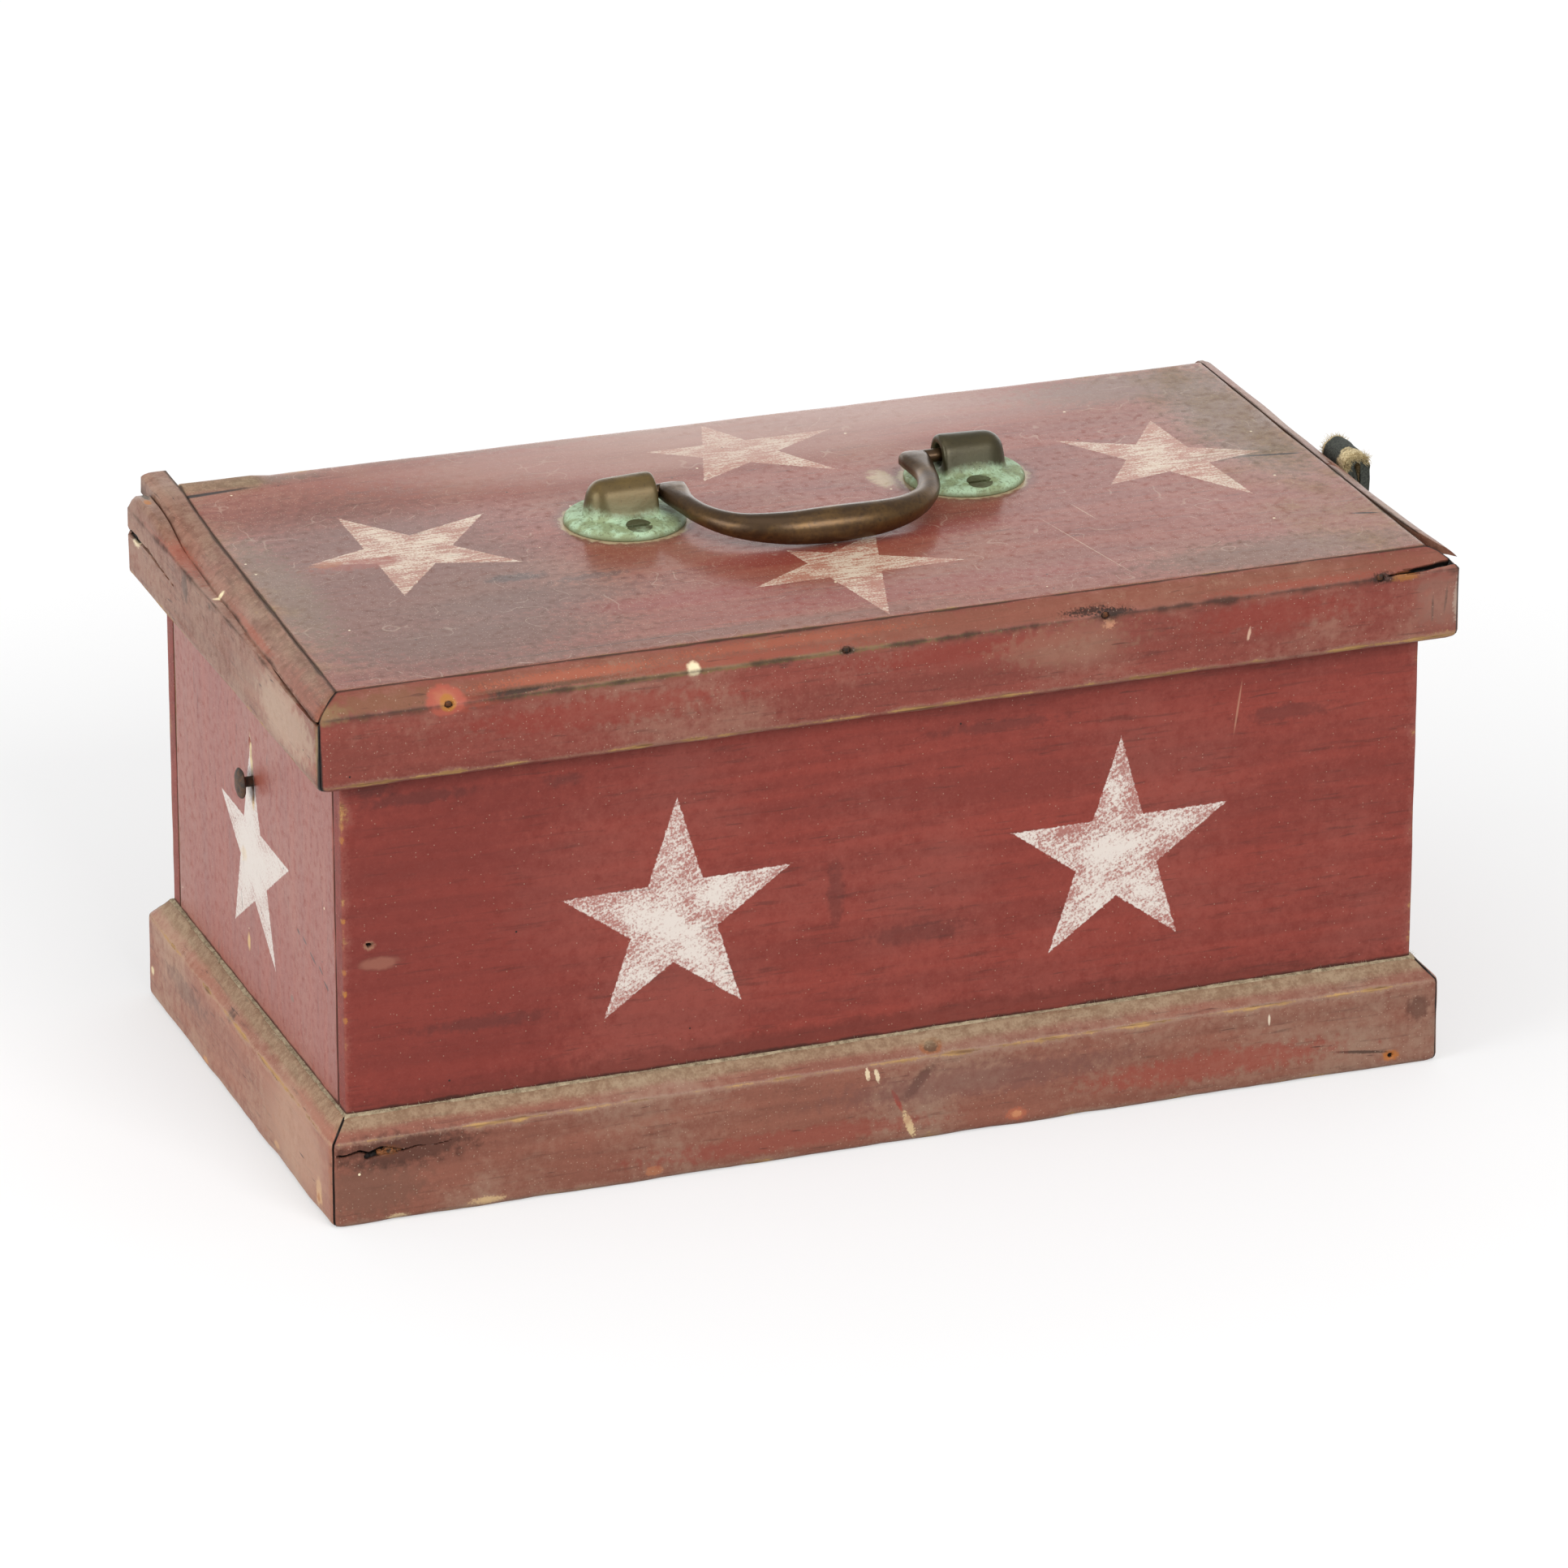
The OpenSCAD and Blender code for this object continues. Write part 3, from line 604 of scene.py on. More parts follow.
@dataclass(frozen=True)
class Brass:
    """Cast brass under a brown patina, rubbed brighter by hands, with verdigris up to a height."""

    name: str
    patina: str = "#4a3826"
    rubbed: str = "#7a6038"
    rub: float = 0.6
    foot: float | None = None
    climb: float = 0.0
    stain: str = "#514f33"

    def material(self) -> Material:
        """Builds the brass.

        Returns:
            The material.
        """
        tree = Tree(self.name)
        place = tree.millimetres()
        cloud = tree.noise(place, 0.06, 4.0, 0.5)
        grit = tree.noise(place, 0.8, 4.0)
        handled = tree.plus(cloud, tree.times(grit, 0.25))
        colour = tree.tint(self.patina, self.rubbed, handled, 0.5, 0.85, self.rub)
        colour = tree.tint(colour, "#2a2016", grit, 0.4, 0.28, 0.45)
        metal: object = 0.7
        roughness: object = tree.times_plus(grit, 0.16, 0.26)
        if self.foot is not None:
            colour, metal, roughness = self.corroded(tree, place, cloud, grit, colour)
        tree.surface({"Base Color": colour, "Metallic": metal, "Roughness": roughness})
        tree.relief(tree.times_plus(cloud, 0.4, tree.times(grit, 0.16)), 0.3)
        return tree.material

    def corroded(self, tree: Tree, place: Socket, cloud: Socket, grit: Socket, colour: Socket
                 ) -> tuple[Socket, Socket, Socket]:
        """Turns the brass olive and then green towards its foot.

        Args:
            tree: Tree to add to.
            place: Place on the casting.
            cloud: Broad noise.
            grit: Fine noise.
            colour: Colour of the clean brass.

        Returns:
            Colour, metallic share and roughness.
        """
        up = tree.plus(tree.parts(place)[2], -self.foot)
        ragged = tree.plus(tree.times_plus(cloud, -9.0, 4.5), tree.times_plus(grit, -5.0, 2.5))
        level = tree.plus(tree.plus(up, -self.climb), ragged)
        olive = tree.ramp(level, 14.0, 6.0)
        green = tree.ramp(level, 7.0, 2.4)
        pale = tree.tint("#7f8c66", "#9fb897", tree.noise(place, 0.16, 4.0), 0.4, 0.6)
        pale = tree.tint(pale, "#55583a", grit, 0.5, 0.68, 0.65)
        pale = tree.tint(pale, "#5f5f3e", tree.plus(up, tree.times(grit, 3.0)), 3.6, 2.2, 0.7)
        pale = tree.mix(tree.flecks(place, 0.9, 0.18, 0.22), pale, "#2c2a1f")
        pale = tree.mix(tree.flecks(place, 0.7, 0.15, 0.14), pale, "#d3d6bf")
        colour = tree.mix(tree.times(olive, 0.8), colour, self.stain)
        colour = tree.mix(green, colour, pale)
        return colour, tree.ramp(green, 0.7, 0.0, 0.45), tree.times_plus(green, 0.25, 0.4)


@dataclass(frozen=True)
class RustyIron:
    """Dark iron with brown rust."""

    name: str
    dark: str = "#2a211c"
    rust: str = "#6b3f22"

    def material(self) -> Material:
        """Builds the iron.

        Returns:
            The material.
        """
        tree = Tree(self.name)
        place = tree.millimetres()
        cloud = tree.noise(place, 0.35, 4.0)
        grit = tree.noise(place, 2.2, 4.0)
        colour = tree.tint(self.dark, self.rust, tree.plus(cloud, tree.times(grit, 0.4)), 0.55, 0.85)
        tree.surface({"Base Color": colour, "Metallic": 0.35, "Roughness": tree.times_plus(cloud, 0.3, 0.5)})
        tree.relief(tree.times_plus(cloud, 0.4, tree.times(grit, 0.3)), 0.6)
        return tree.material


@dataclass(frozen=True)
class Leather:
    """Black-faced leather worn through to its tan fibres."""

    name: str

    def material(self) -> Material:
        """Builds the leather.

        Returns:
            The material.
        """
        tree = Tree(self.name)
        place = tree.millimetres()
        patch = tree.noise(place, 0.16, 4.0, 0.6)
        pebble = tree.noise(place, 1.5, 4.0)
        worn = tree.plus(tree.mark("edge"), tree.times_plus(patch, 1.5, -0.75))
        face = tree.tint("#20221e", "#3f433a", pebble, 0.35, 0.65)
        fibres = tree.tint("#8d7850", "#d6c49a", pebble, 0.35, 0.62)
        tree.surface({"Base Color": tree.tint(face, fibres, worn, 0.5, 0.72), "Roughness": 0.82})
        tree.relief(tree.times_plus(patch, 0.5, tree.times(pebble, 0.5)), 0.7)
        return tree.material


@dataclass(frozen=True)
class Lint:
    """Packed beige dust and fluff."""

    name: str
    light: str = "#baa98b"
    dark: str = "#7a674e"

    def material(self) -> Material:
        """Builds the dust.

        Returns:
            The material.
        """
        tree = Tree(self.name)
        place = tree.millimetres()
        clump = tree.noise(place, 0.5, 5.0)
        grit = tree.noise(place, 2.6, 3.0)
        colour = tree.tint(self.dark, self.light, tree.plus(clump, tree.times(grit, 0.5)), 0.5, 0.95)
        tree.surface({"Base Color": colour, "Roughness": 0.95})
        tree.relief(tree.plus(clump, grit), 0.8)
        return tree.material


class Carving:
    """A mesh in millimetres whose points carry how worn, grimy (partly painted shade), dusty and split they
    are.
    """

    MARKS = ("edge", "grime", "dust", "crack")

    def __init__(self) -> None:
        """Starts an empty mesh with its marks."""
        self.bm = bmesh.new()
        for name in self.MARKS:
            self.bm.verts.layers.float.new(name)

    def set_mark(self, name: str, value: Measure) -> None:
        """Sets a mark on every point.

        Args:
            name: Which mark.
            value: Its amount from 0 to 1 at a place.
        """
        layer = self.bm.verts.layers.float[name]
        for vert in self.bm.verts:
            vert[layer] = max(vert[layer], min(1.0, value(vert.co)))

    def cut(self, axis: Axis, places: Iterable[float]) -> None:
        """Adds loops of points across an axis at given places."""
        normal = Vector(tuple(float(a is axis) for a in Axis))
        for place in places:
            geom = [*self.bm.verts, *self.bm.edges, *self.bm.faces]
            bmesh.ops.bisect_plane(self.bm, geom=geom, dist=1e-4, plane_co=normal * place, plane_no=normal)

    def scale(self, factors: Iterable[float], verts: Verts = ()) -> None:
        """Scales the mesh, or some of its points, about the origin."""
        bmesh.ops.scale(self.bm, vec=factors, verts=verts or self.bm.verts)

    def move(self, step: Iterable[float], verts: Verts = ()) -> None:
        """Moves the mesh, or some of its points."""
        bmesh.ops.translate(self.bm, vec=step, verts=verts or self.bm.verts)

    def turn(self, centre: Iterable[float], angle: float, axis: Axis, verts: Verts = ()) -> None:
        """Turns the mesh, or some of its points, about an axis through a place."""
        matrix = Matrix.Rotation(angle, 3, axis.name)
        bmesh.ops.rotate(self.bm, cent=centre, matrix=matrix, verts=verts or self.bm.verts)

    def sweep(self, sections: Iterable[list[Vector]]) -> None:
        """Skins a closed shape through sections, with a flat cap at each end.

        Args:
            sections: Places round each section, in order.
        """
        ring: list[BMVert] = []
        loop: list[BMEdge] = []
        for places in sections:
            if not ring:
                ring = [self.bm.verts.new(place) for place in places]
                loop = [self.bm.edges.new(pair) for pair in zip(ring, ring[1:] + ring[:1])]
                bmesh.ops.contextual_create(self.bm, geom=loop)
                continue
            made = bmesh.ops.extrude_edge_only(self.bm, edges=loop)["geom"]
            fresh = {g for g in made if isinstance(g, BMVert)}
            ring = [next(e.other_vert(v) for e in v.link_edges if e.other_vert(v) in fresh) for v in ring]
            for vert, place in zip(ring, places):
                vert.co = place
            loop = [e for e in made if isinstance(e, BMEdge) and set(e.verts) <= fresh]
        bmesh.ops.contextual_create(self.bm, geom=loop)
        bmesh.ops.remove_doubles(self.bm, verts=self.bm.verts, dist=MERGED)
        bmesh.ops.recalc_face_normals(self.bm, faces=self.bm.faces)

    def refine(self, near: Callable[[Vector], bool]) -> None:
        """Splits once the faces whose middles are near a feature."""
        faces = [f for f in self.bm.faces
                 if FINEST_AREA < f.calc_area() < COARSEST_AREA and near(f.calc_center_median())]
        edges = dict.fromkeys(e for f in faces for e in f.edges)
        bmesh.ops.subdivide_edges(self.bm, edges=list(edges), cuts=1, use_grid_fill=True)

    def gouge(self, path: list[Vector], width: float, depth: float, levels: int = 3, runs_out: bool = False
              ) -> None:
        """Presses a groove or a hole along a path into the surface.

        Args:
            path: Points on the surface.
            width: Half width of the groove.
            depth: Depth at its middle.
            levels: How many times the faces near it are split.
            runs_out: Whether it narrows to nothing at the path's end.
        """
        pairs = list(zip(path[:-1], path[1:])) or [(path[0], path[0] + Vector((1e-3, 0, 0)))]

        def away(place: Vector) -> Point:
            """Returns the distance from the path, and how far along the path that is."""
            found = []
            for i, (a, b) in enumerate(pairs):
                share = min(1.0, max(0.0, geometry.intersect_point_line(place, a, b)[1]))
                found.append(((a.lerp(b, share) - place).length, (i + share) / len(pairs)))
            return min(found)

        for level in range(levels):
            self.refine(lambda c: away(c)[0] < width + 8.0 / 2**level)
        self.bm.normal_update()
        layer = self.bm.verts.layers.float["crack"]
        moves = []
        for vert in self.bm.verts:
            distance, along = away(vert.co)
            narrow = 1 - 0.8 * smooth(2 * along - 1) if runs_out else 1.0
            share = distance / (narrow * width * (1 + 0.35 * rough(vert.co, 0.25, 3.1)))
            if share < 1.6:
                push = smooth(1.6 - 1.6 * share) * depth
                moves.append((vert, vert.normal * push))
                vert[layer] = max(vert[layer], smooth(1.7 - 1.4 * share))
        for vert, move in moves:
            vert.co -= move

    def wobble(self, amount: float, scale: float, seed: float) -> None:
        """Moves the points in and out by smooth noise."""
        self.bm.normal_update()
        for vert in self.bm.verts:
            vert.co += vert.normal * (amount * rough(vert.co, scale, seed))

    def finish(self, name: str, materials: list[Material], body: Body, slot: Slot,
               stands_for: tuple[str, ...] = (), choose: Callable[[bmesh.types.BMFace], int] | None = None
               ) -> bpy.types.Object:
        """Turns the mesh into a piece that rides on a body.

        Args:
            name: Name of the piece.
            materials: Its finishes.
            body: Body that it rides on.
            slot: Slot that its finish belongs to; not used.
            stands_for: Nodes that it replaces.
            choose: Gives the number of a face's finish.

        Returns:
            The piece.
        """
        bmesh.ops.remove_doubles(self.bm, verts=self.bm.verts, dist=MERGED)
        bmesh.ops.dissolve_verts(self.bm, verts=[v for v in self.bm.verts if len(v.link_edges) == 2])
        bmesh.ops.recalc_face_normals(self.bm, faces=self.bm.faces)
        if self.bm.calc_volume(signed=True) < 0.0:
            bmesh.ops.reverse_faces(self.bm, faces=self.bm.faces)
        self.bm.normal_update()
        for face in self.bm.faces:
            face.smooth = True
            face.material_index = choose(face) if choose else 0
        for edge in self.bm.edges:
            edge.smooth = edge.calc_face_angle(0.0) < SHARP
        self.scale((MM,) * 3)
        mesh = bpy.data.meshes.new(name)
        self.bm.to_mesh(mesh)
        self.bm.free()
        for material in materials:
            mesh.materials.append(material)
        piece = placed(name, mesh)
        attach(piece, body.value)
        if stands_for:
            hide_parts(*stands_for)
        LOG.info("%s: %d faces", name, len(mesh.polygons))
        return piece


def spread(low: float, high: float, pitch: float, margins: Iterable[float] = (0.5, 1.2, 2.4, 4.5)
           ) -> list[float]:
    """Works out where a length is cut: closely near its ends, evenly between them.

    Args:
        low: One end.
        high: The other end.
        pitch: Largest step between the even cuts.
        margins: Distances of the close cuts from each end.

    Returns:
        The places, in order.
    """
    close = [m for m in margins if m < 0.45 * (high - low)]
    count = max(1, round((high - low) / pitch))
    even = [low + (high - low) * i / count for i in range(1, count)]
    clear = max(close, default=0.0) + 0.3
    inner = [e for e in even if low + clear < e < high - clear]
    return sorted([low + m for m in close] + inner + [high - m for m in close])


@dataclass
class Board:
    """A flat board with hand-worn arrises."""

    low: Vector
    high: Vector
    pitch: float = 8.0
    arris: float = 0.9
    seed: float = 0.0

    @classmethod
    def of(cls, node: str, **sizes: float) -> "Board":
        """Takes a board's size from its node."""
        return cls(*node_box(node), **sizes)

    def carve(self) -> Carving:
        """Cuts the board and wears its arrises.

        Returns:
            The board's mesh.
        """
        carving = Carving()
        bmesh.ops.create_cube(carving.bm, size=1.0)
        carving.scale(self.high - self.low)
        carving.move((self.low + self.high) / 2)
        for axis in Axis:
            carving.cut(axis, spread(self.low[axis.value], self.high[axis.value], self.pitch))
        carving.set_mark("edge", lambda co: 1.0 - self.arris_distance(co) / 10.0)
        for vert in carving.bm.verts:
            vert.co = self.eased(vert.co)
        carving.wobble(0.12, 0.03, self.seed)
        return carving

    def arris_distance(self, place: Vector) -> float:
        """Returns how far a place on the surface is from the nearest arris."""
        depths = [min(place[i] - self.low[i], self.high[i] - place[i]) for i in range(3)]
        return sorted(depths)[1]

    def eased(self, place: Vector) -> Vector:
        """Moves a place near an arris onto its worn round.

        Args:
            place: Place on the sharp board.

        Returns:
            The place on the worn one.
        """
        uneven = 1.0 + 0.55 * rough(place, 0.035, self.seed) + 0.45 * rough(place, 0.13, self.seed + 5)
        radius = self.arris * max(0.25, uneven)
        core = Vector(min(max(place[i], self.low[i] + radius), self.high[i] - radius) for i in range(3))
        off = place - core
        return core + off.normalized() * radius if off.length > 1e-6 else place.copy()


@dataclass
class Moulding:
    """A strip with one section along its run, mitred or square at its ends."""

    outline: list[Point]
    start: float
    end: float
    mitre_start: float = 1.0
    mitre_end: float = 1.0
    corner: float = 2.0
    pitch: float = 5.0

    def carve(self, put: Put,
              trim: Callable[[float, float, float], Point] | None = None,
              stops: Iterable[float] = ()) -> Carving:
        """Sweeps the section along its run.

        Args:
            put: Turns (along, out, up) into a place.
            trim: Turns (along, out, up) into another (out, up), where the strip has lost wood.
            stops: Extra stations along the run.

        Returns:
            The strip's mesh.
        """
        length = self.end - self.start
        stations = sorted({0.0, length, *spread(0.0, length, self.pitch, (0.4, 1.0, 1.7, 3.0)),
                           *(s - self.start for s in stops)})
        wide = max(out for out, _ in self.outline)

        def at(station: float, out: float, up: float) -> Vector:
            """Returns where a point of the section lies at a station, with the corners rounded off."""
            first = self.start - out * self.mitre_start
            last = self.end + out * self.mitre_end
            along = first + (last - first) * station / length
            near = min(along - first if self.mitre_start else self.corner,
                       last - along if self.mitre_end else self.corner)
            bite = max(0.0, self.corner - near)
            out -= (self.corner - math.sqrt(max(0.0, self.corner**2 - bite**2))) * out / wide
            along = min(max(along, self.start - out * self.mitre_start), self.end + out * self.mitre_end)
            return put(along, *(trim(along, out, up) if trim else (out, up)))

        carving = Carving()
        carving.sweep([at(station, *point) for point in self.outline] for station in stations)
        return carving

    def open_mitres(self, carving: Carving, flat: Callable[[Vector], Point], wide: float = 1.4) -> None:
        """Darkens the open joints at the mitred ends.

        Args:
            carving: The strip.
            flat: Turns a place into (along, out).
            wide: How far from the mitre the darkness reaches.
        """
        def shut(place: Vector) -> float:
            """Returns how near a place is to a mitre."""
            along, out = flat(place)
            gaps = [along - self.start + out] if self.mitre_start else []
            gaps += [self.end + out - along] if self.mitre_end else []
            return 1.0 - min(gaps) / (wide * (1 + 0.7 * rough(place, 0.11, 8.0)))

        carving.set_mark("crack", shut)


@dataclass
class Stage:
    """Pale floor, soft studio light and a camera at the photograph's angle."""

    eye: Triple = (-1.071693, -2.881974, 1.346916)
    azimuth: float = -20.375
    elevation: float = 22.159
    focal_pixels: float = 11410.468
    image_pixels: float = 1932.0
    sensor: float = 36.0
    floor_size: float = 12.0
    backdrop_distance: float = 2.2
    backdrop_top: float = 1.02
    backdrop_width: float = 4.0
    backdrop_power: float = 24.0

    def build(self) -> None:
        """Sets the stage."""
        bpy.context.scene.view_settings.view_transform = "Standard"
        self.place_camera()
        self.lay_floor()
        self.light_world()
        self.hang_lamp("over_lamp", (-0.3, -0.4, 2.0), (0.0, 0.0, 0.1), (1.6, 1.6), 7.0)
        self.hang_lamp("key_lamp", (0.4, -2.6, 1.7), (0.0, 0.0, 0.1), (1.6, 1.2), 58.0)
        self.hang_lamp("left_lamp", (-2.2, -0.5, 0.9), (0.0, 0.0, 0.1), (1.4, 1.2), 32.0)
        self.hang_backdrop()

    def hang_backdrop(self) -> None:
        """Hangs the bright backdrop whose upper edge shows as a sheen on the lid."""
        azimuth = math.radians(self.azimuth)
        away = Vector((-math.sin(azimuth), math.cos(azimuth), 0.0)) * self.backdrop_distance
        aim = Vector((0, 0, self.backdrop_top / 2))
        size = (self.backdrop_width, self.backdrop_top)
        self.hang_lamp("backdrop_lamp", away + aim, aim, size, self.backdrop_power)

    def place_camera(self) -> None:
        """Places the camera that the photograph's edges give."""
        azimuth, elevation = math.radians(self.azimuth), math.radians(self.elevation)
        back = Vector((math.sin(azimuth) * math.cos(elevation), -math.cos(azimuth) * math.cos(elevation),
                       math.sin(elevation)))
        right = Vector((0, 0, 1)).cross(back).normalized()
        data = bpy.data.cameras.new("camera")
        data.sensor_width = self.sensor
        data.lens = self.focal_pixels / self.image_pixels * self.sensor
        data.clip_end = 50.0
        camera = placed("camera", data)
        turn = Matrix((right, back.cross(right), back)).transposed()
        camera.matrix_world = Matrix.Translation(self.eye) @ turn.to_4x4()
        bpy.context.scene.camera = camera

    def lay_floor(self) -> None:
        """Lays a floor that shows white and keeps the soft shadow, with painted shade where it glows less
        round the box.
        """
        bm = bmesh.new()
        bmesh.ops.create_grid(bm, x_segments=1, y_segments=1, size=self.floor_size / 2)
        mesh = bpy.data.meshes.new("floor")
        bm.to_mesh(mesh)
        bm.free()
        floor = placed("floor", mesh)
        tree = Tree("floor_white")
        away = tree.vector("LENGTH", tree.millimetres()).outputs["Value"]
        # Glow rises from 0.445 near the box to 0.535 beyond 700 mm: the dimmer floor round the box is painted
        # shade.
        floor_glow_with_painted_falloff = tree.plus(tree.ramp(away, 250.0, 700.0, 0.09), 0.445)
        tree.surface({"Base Color": (0.44, 0.44, 0.44, 1.0), "Roughness": 0.9, "Specular IOR Level": 0.0,
                      "Emission Color": WHITE, "Emission Strength": tree.times(self.seen(tree), floor_glow_with_painted_falloff)})
        mesh.materials.append(tree.material)

    @staticmethod
    def seen(tree: Tree) -> Socket:
        """Returns 1 for rays from the camera, a mirror or glass."""
        path = tree.nodes.new("ShaderNodeLightPath").outputs
        both = tree.math("MAXIMUM", path["Is Camera Ray"], path["Is Glossy Ray"])
        return tree.math("MAXIMUM", both, path["Is Transmission Ray"])

    def light_world(self) -> None:
        """Fills the room with even light before a white background."""
        world = bpy.data.worlds.new("studio")
        bpy.context.scene.world = world
        tree = Tree("studio", world)
        path = tree.nodes.new("ShaderNodeLightPath").outputs
        both = tree.math("MAXIMUM", path["Is Camera Ray"], path["Is Transmission Ray"])
        background = tree.nodes["Background"].inputs
        tree.put(background["Color"], WHITE)
        tree.put(background["Strength"], tree.times_plus(both, 0.4, 0.6))

    def hang_lamp(self, name: str, place: Triple, aim: Triple, size: Point, power: float) -> None:
        """Hangs a soft oblong lamp that the camera doesn't see.

        Args:
            name: Name of the lamp.
            place: Where it hangs, in metres.
            aim: Where it points.
            size: Its width and height.
            power: Its power in watts.
        """
        data = bpy.data.lights.new(name, "AREA")
        data.shape = "RECTANGLE"
        data.size, data.size_y = size
        data.energy = power
        lamp = placed(name, data)
        lamp.location = place
        lamp.rotation_euler = (Vector(aim) - Vector(place)).to_track_quat("-Z", "Y").to_euler()
        lamp.visible_camera = False


INSIDE_LONG = BareWood("inside_wood", Axis.X)
INSIDE_ENDS = BareWood("inside_end_wood", Axis.Z)
UNDER = BareWood("under_wood", Axis.X, "#8d7052", "#705640")

FRONT_STARS = (
    ((-78.4, 139.9), (-36.6, 109.0), (-55.2, 60.5), (-105.7, 60.5), (-120.9, 107.3)),
    ((86.8, 139.2), (127.5, 109.1), (108.8, 61.9), (60.2, 60.8), (45.9, 108.4)),
)
LEFT_STAR = ((2.0, 137.0), (-41.1, 106.2), (-23.0, 60.8), (24.9, 62.0), (38.2, 107.2))
LID_STARS = (
    ((-149.5, 55.4), (-99.5, 42.5), (-101.8, -8.2), (-151.1, -25.4), (-172.7, 14.7)),
    ((3.1, 98.3), (45.5, 79.8), (34.5, 41.1), (-14.8, 46.0), (-24.9, 79.5)),
    ((119.0, 41.4), (159.5, 49.4), (185.1, 5.9), (164.6, -34.1), (120.6, -7.9)),
    ((-11.5, -29.8), (24.0, -24.0), (44.1, -59.9), (0.1, -100.8), (-34.4, -60.4)),
)

CASE_FRONT = Face(Axis.Y, -102.0, 6.0)
CASE_LEFT = Face(Axis.X, -200.0, 3.0)
PLINTH_FRONT = Face(Axis.Y, -110.2)
PLINTH_LEFT = Face(Axis.X, -208.2)

# Patches: place and reach on the face, colour, strength, raggedness, turn, softness, place and reach in depth
CASE_FRONT_SPOTS: Table = (
    # Painted shade: the front's left part is darker, where the light falls off.
    (-165, 90, 70, 110, "#6a2924", 0.35, 0.6),
    # Painted shadow: a dark strip along the front's foot, where the wall meets the ledge.
    (0, 40, 260, 9, "#5d2a22", 0.5, 0.8),
    (-186.9, 93.8, 11, 3.8, "#5f2c26", 0.6, 0.8),
    (-186.9, 93.8, 9.6, 3, "#96604f", 0.65, 0.8),
    (-190.6, 101, 2.6, 2.2, "#a27c62", 0.6),
    *((*smudge, "#4b2a26", 0.4, 1.6) for smudge in (
        (-172, 153, 26, 3.2), (-150, 66, 30, 3.4), (-120, 152, 9, 3), (-20, 96, 4, 15), (40, 150, 30, 3),
        (150, 140, 22, 4), (-188, 158, 9, 4), (10, 76, 24, 5))),
    *((-199.6, z, 1, 0.7 * tall, "#a8702f", 0.9, 1.4, 0, 0.5, 0, 3) for z, tall in (
        (151, 1.6), (146, 2.4), (141, 2.6), (111, 2), (92, 1.8), (84, 2.2), (74, 2))),
    (131, 144, 0.5, 12, "#b08068", 0.6, 0.3, 8, 0.5, 0, 3),
)
CASE_LEFT_SPOTS: Table = (
    (1.2, 133, 1.5, 9, "#d9c49b", 0.9, 1.0, -6),
    (-0.6, 116.5, 1.8, 4, "#c9a56c", 0.8),
    (0, 121, 3.2, 6, "#6d4027", 0.7),
    (8.6, 59.6, 2, 4, "#d2ae6d", 0.8),
    (12, 92, 5, 3, "#d8bd8e", 0.4),
    (96, 120, 3, 2.2, "#e0cfa6", 0.85),
    (-41.7, 58.2, 2.4, 1.6, "#6b5546", 0.8),
    *((y, z, wide, 0.8, "#33221e", 0.85, 0.8, 17) for y, z, wide in (
        (-51, 87.2, 2), (-58, 86.5, 3), (-67, 83.6, 5), (-76, 82.7, 3), (-82, 79.2, 3.6))),
)
PLINTH_FRONT_SPOTS: Table = (
    (-194, 13, 26, 13, "#66493c", 0.5, 1.6, 0, 0.5, 0, 6),
    (-182, 26.6, 34, 8, "#3c241c", 0.7, 1.3, 0, 0.5, 0, 6),
    (-188, 27, 6, 2.6, "#6a3d1c", 0.8, 1.4),
    (4.6, 7, 1.7, 6.4, "#d0b78c", 0.9, 1.6, -22, 0.3),
    (0.2, 16.6, 1.2, 6, "#8f3328", 0.8, 0.8, -24),
    (-11, 28.6, 1, 2.8, "#d9c5a4", 0.9, 1.4, -8, 0.3),
    (-7.4, 27.4, 1, 3.4, "#d9c5a4", 0.9, 1.4, -12, 0.3),
    (8, 22.6, 3, 11, "#4a2e25", 0.75, 1.4, 42),
    (13.6, 34, 5, 3.6, "#8a5230", 0.8, 0.7, 0, 0.2, 3.5),
    (13.6, 34, 3.2, 2.4, "#4f3b2c", 0.8, 0.7, 0, 0.3, 3.5, 4),
    (45.4, 4.6, 4.8, 2.9, "#a35d45", 0.8, 1.0, 0, 0.3),
    (45.4, 4.6, 2.6, 1.8, "#bf825c", 0.8),
    (-90.5, 4, 4, 2.2, "#a56b4c", 0.75, 1.0, 0, 0.3),
    (-152, 2.6, 8, 2, "#c6a77c", 0.85, 1.6),
    (-184.7, 1.6, 5, 1.4, "#cdb48c", 0.85, 1.6),
    (189.5, 5, 4, 2.6, "#a8642c", 0.9, 1.2),
    (178, 8, 14, 0.8, "#3a2a22", 0.8, 0.5, 8),
    (142, 26, 0.6, 2.6, "#ded0b8", 0.8, 0.4),
    (30, 20, 70, 8, "#704b44", 0.5, 1.8),
    (120, 12, 60, 7, "#8f3c31", 0.5, 1.8),
    (-40, 8, 70, 5, "#8a3d33", 0.45, 1.8),
    (200, 22, 6, 6, "#4d3229", 0.6, 1.6),
)
PLINTH_SIDE_SPOTS: Table = (
    (104, 11.1, 2.4, 2, "#e0cca2", 0.9),
    (38, 3, 4, 1.6, "#c58e58", 0.8),
    (-46, 5, 4, 2, "#c2966a", 0.7),
    (-95, 8, 4.5, 7, "#d0a878", 0.8, 1.4),
    (-95, 6, 1.8, 2.2, "#a5641f", 0.9),
    (8, 31.8, 6, 3.4, "#4f3a2c", 0.8, 1.2, 0, 0.5, 3),
    (-72, 18, 44, 22, "#b58f76", 0.55, 1.2),
    (60, 20, 34, 6, "#6a5146", 0.5, 1.8),
)
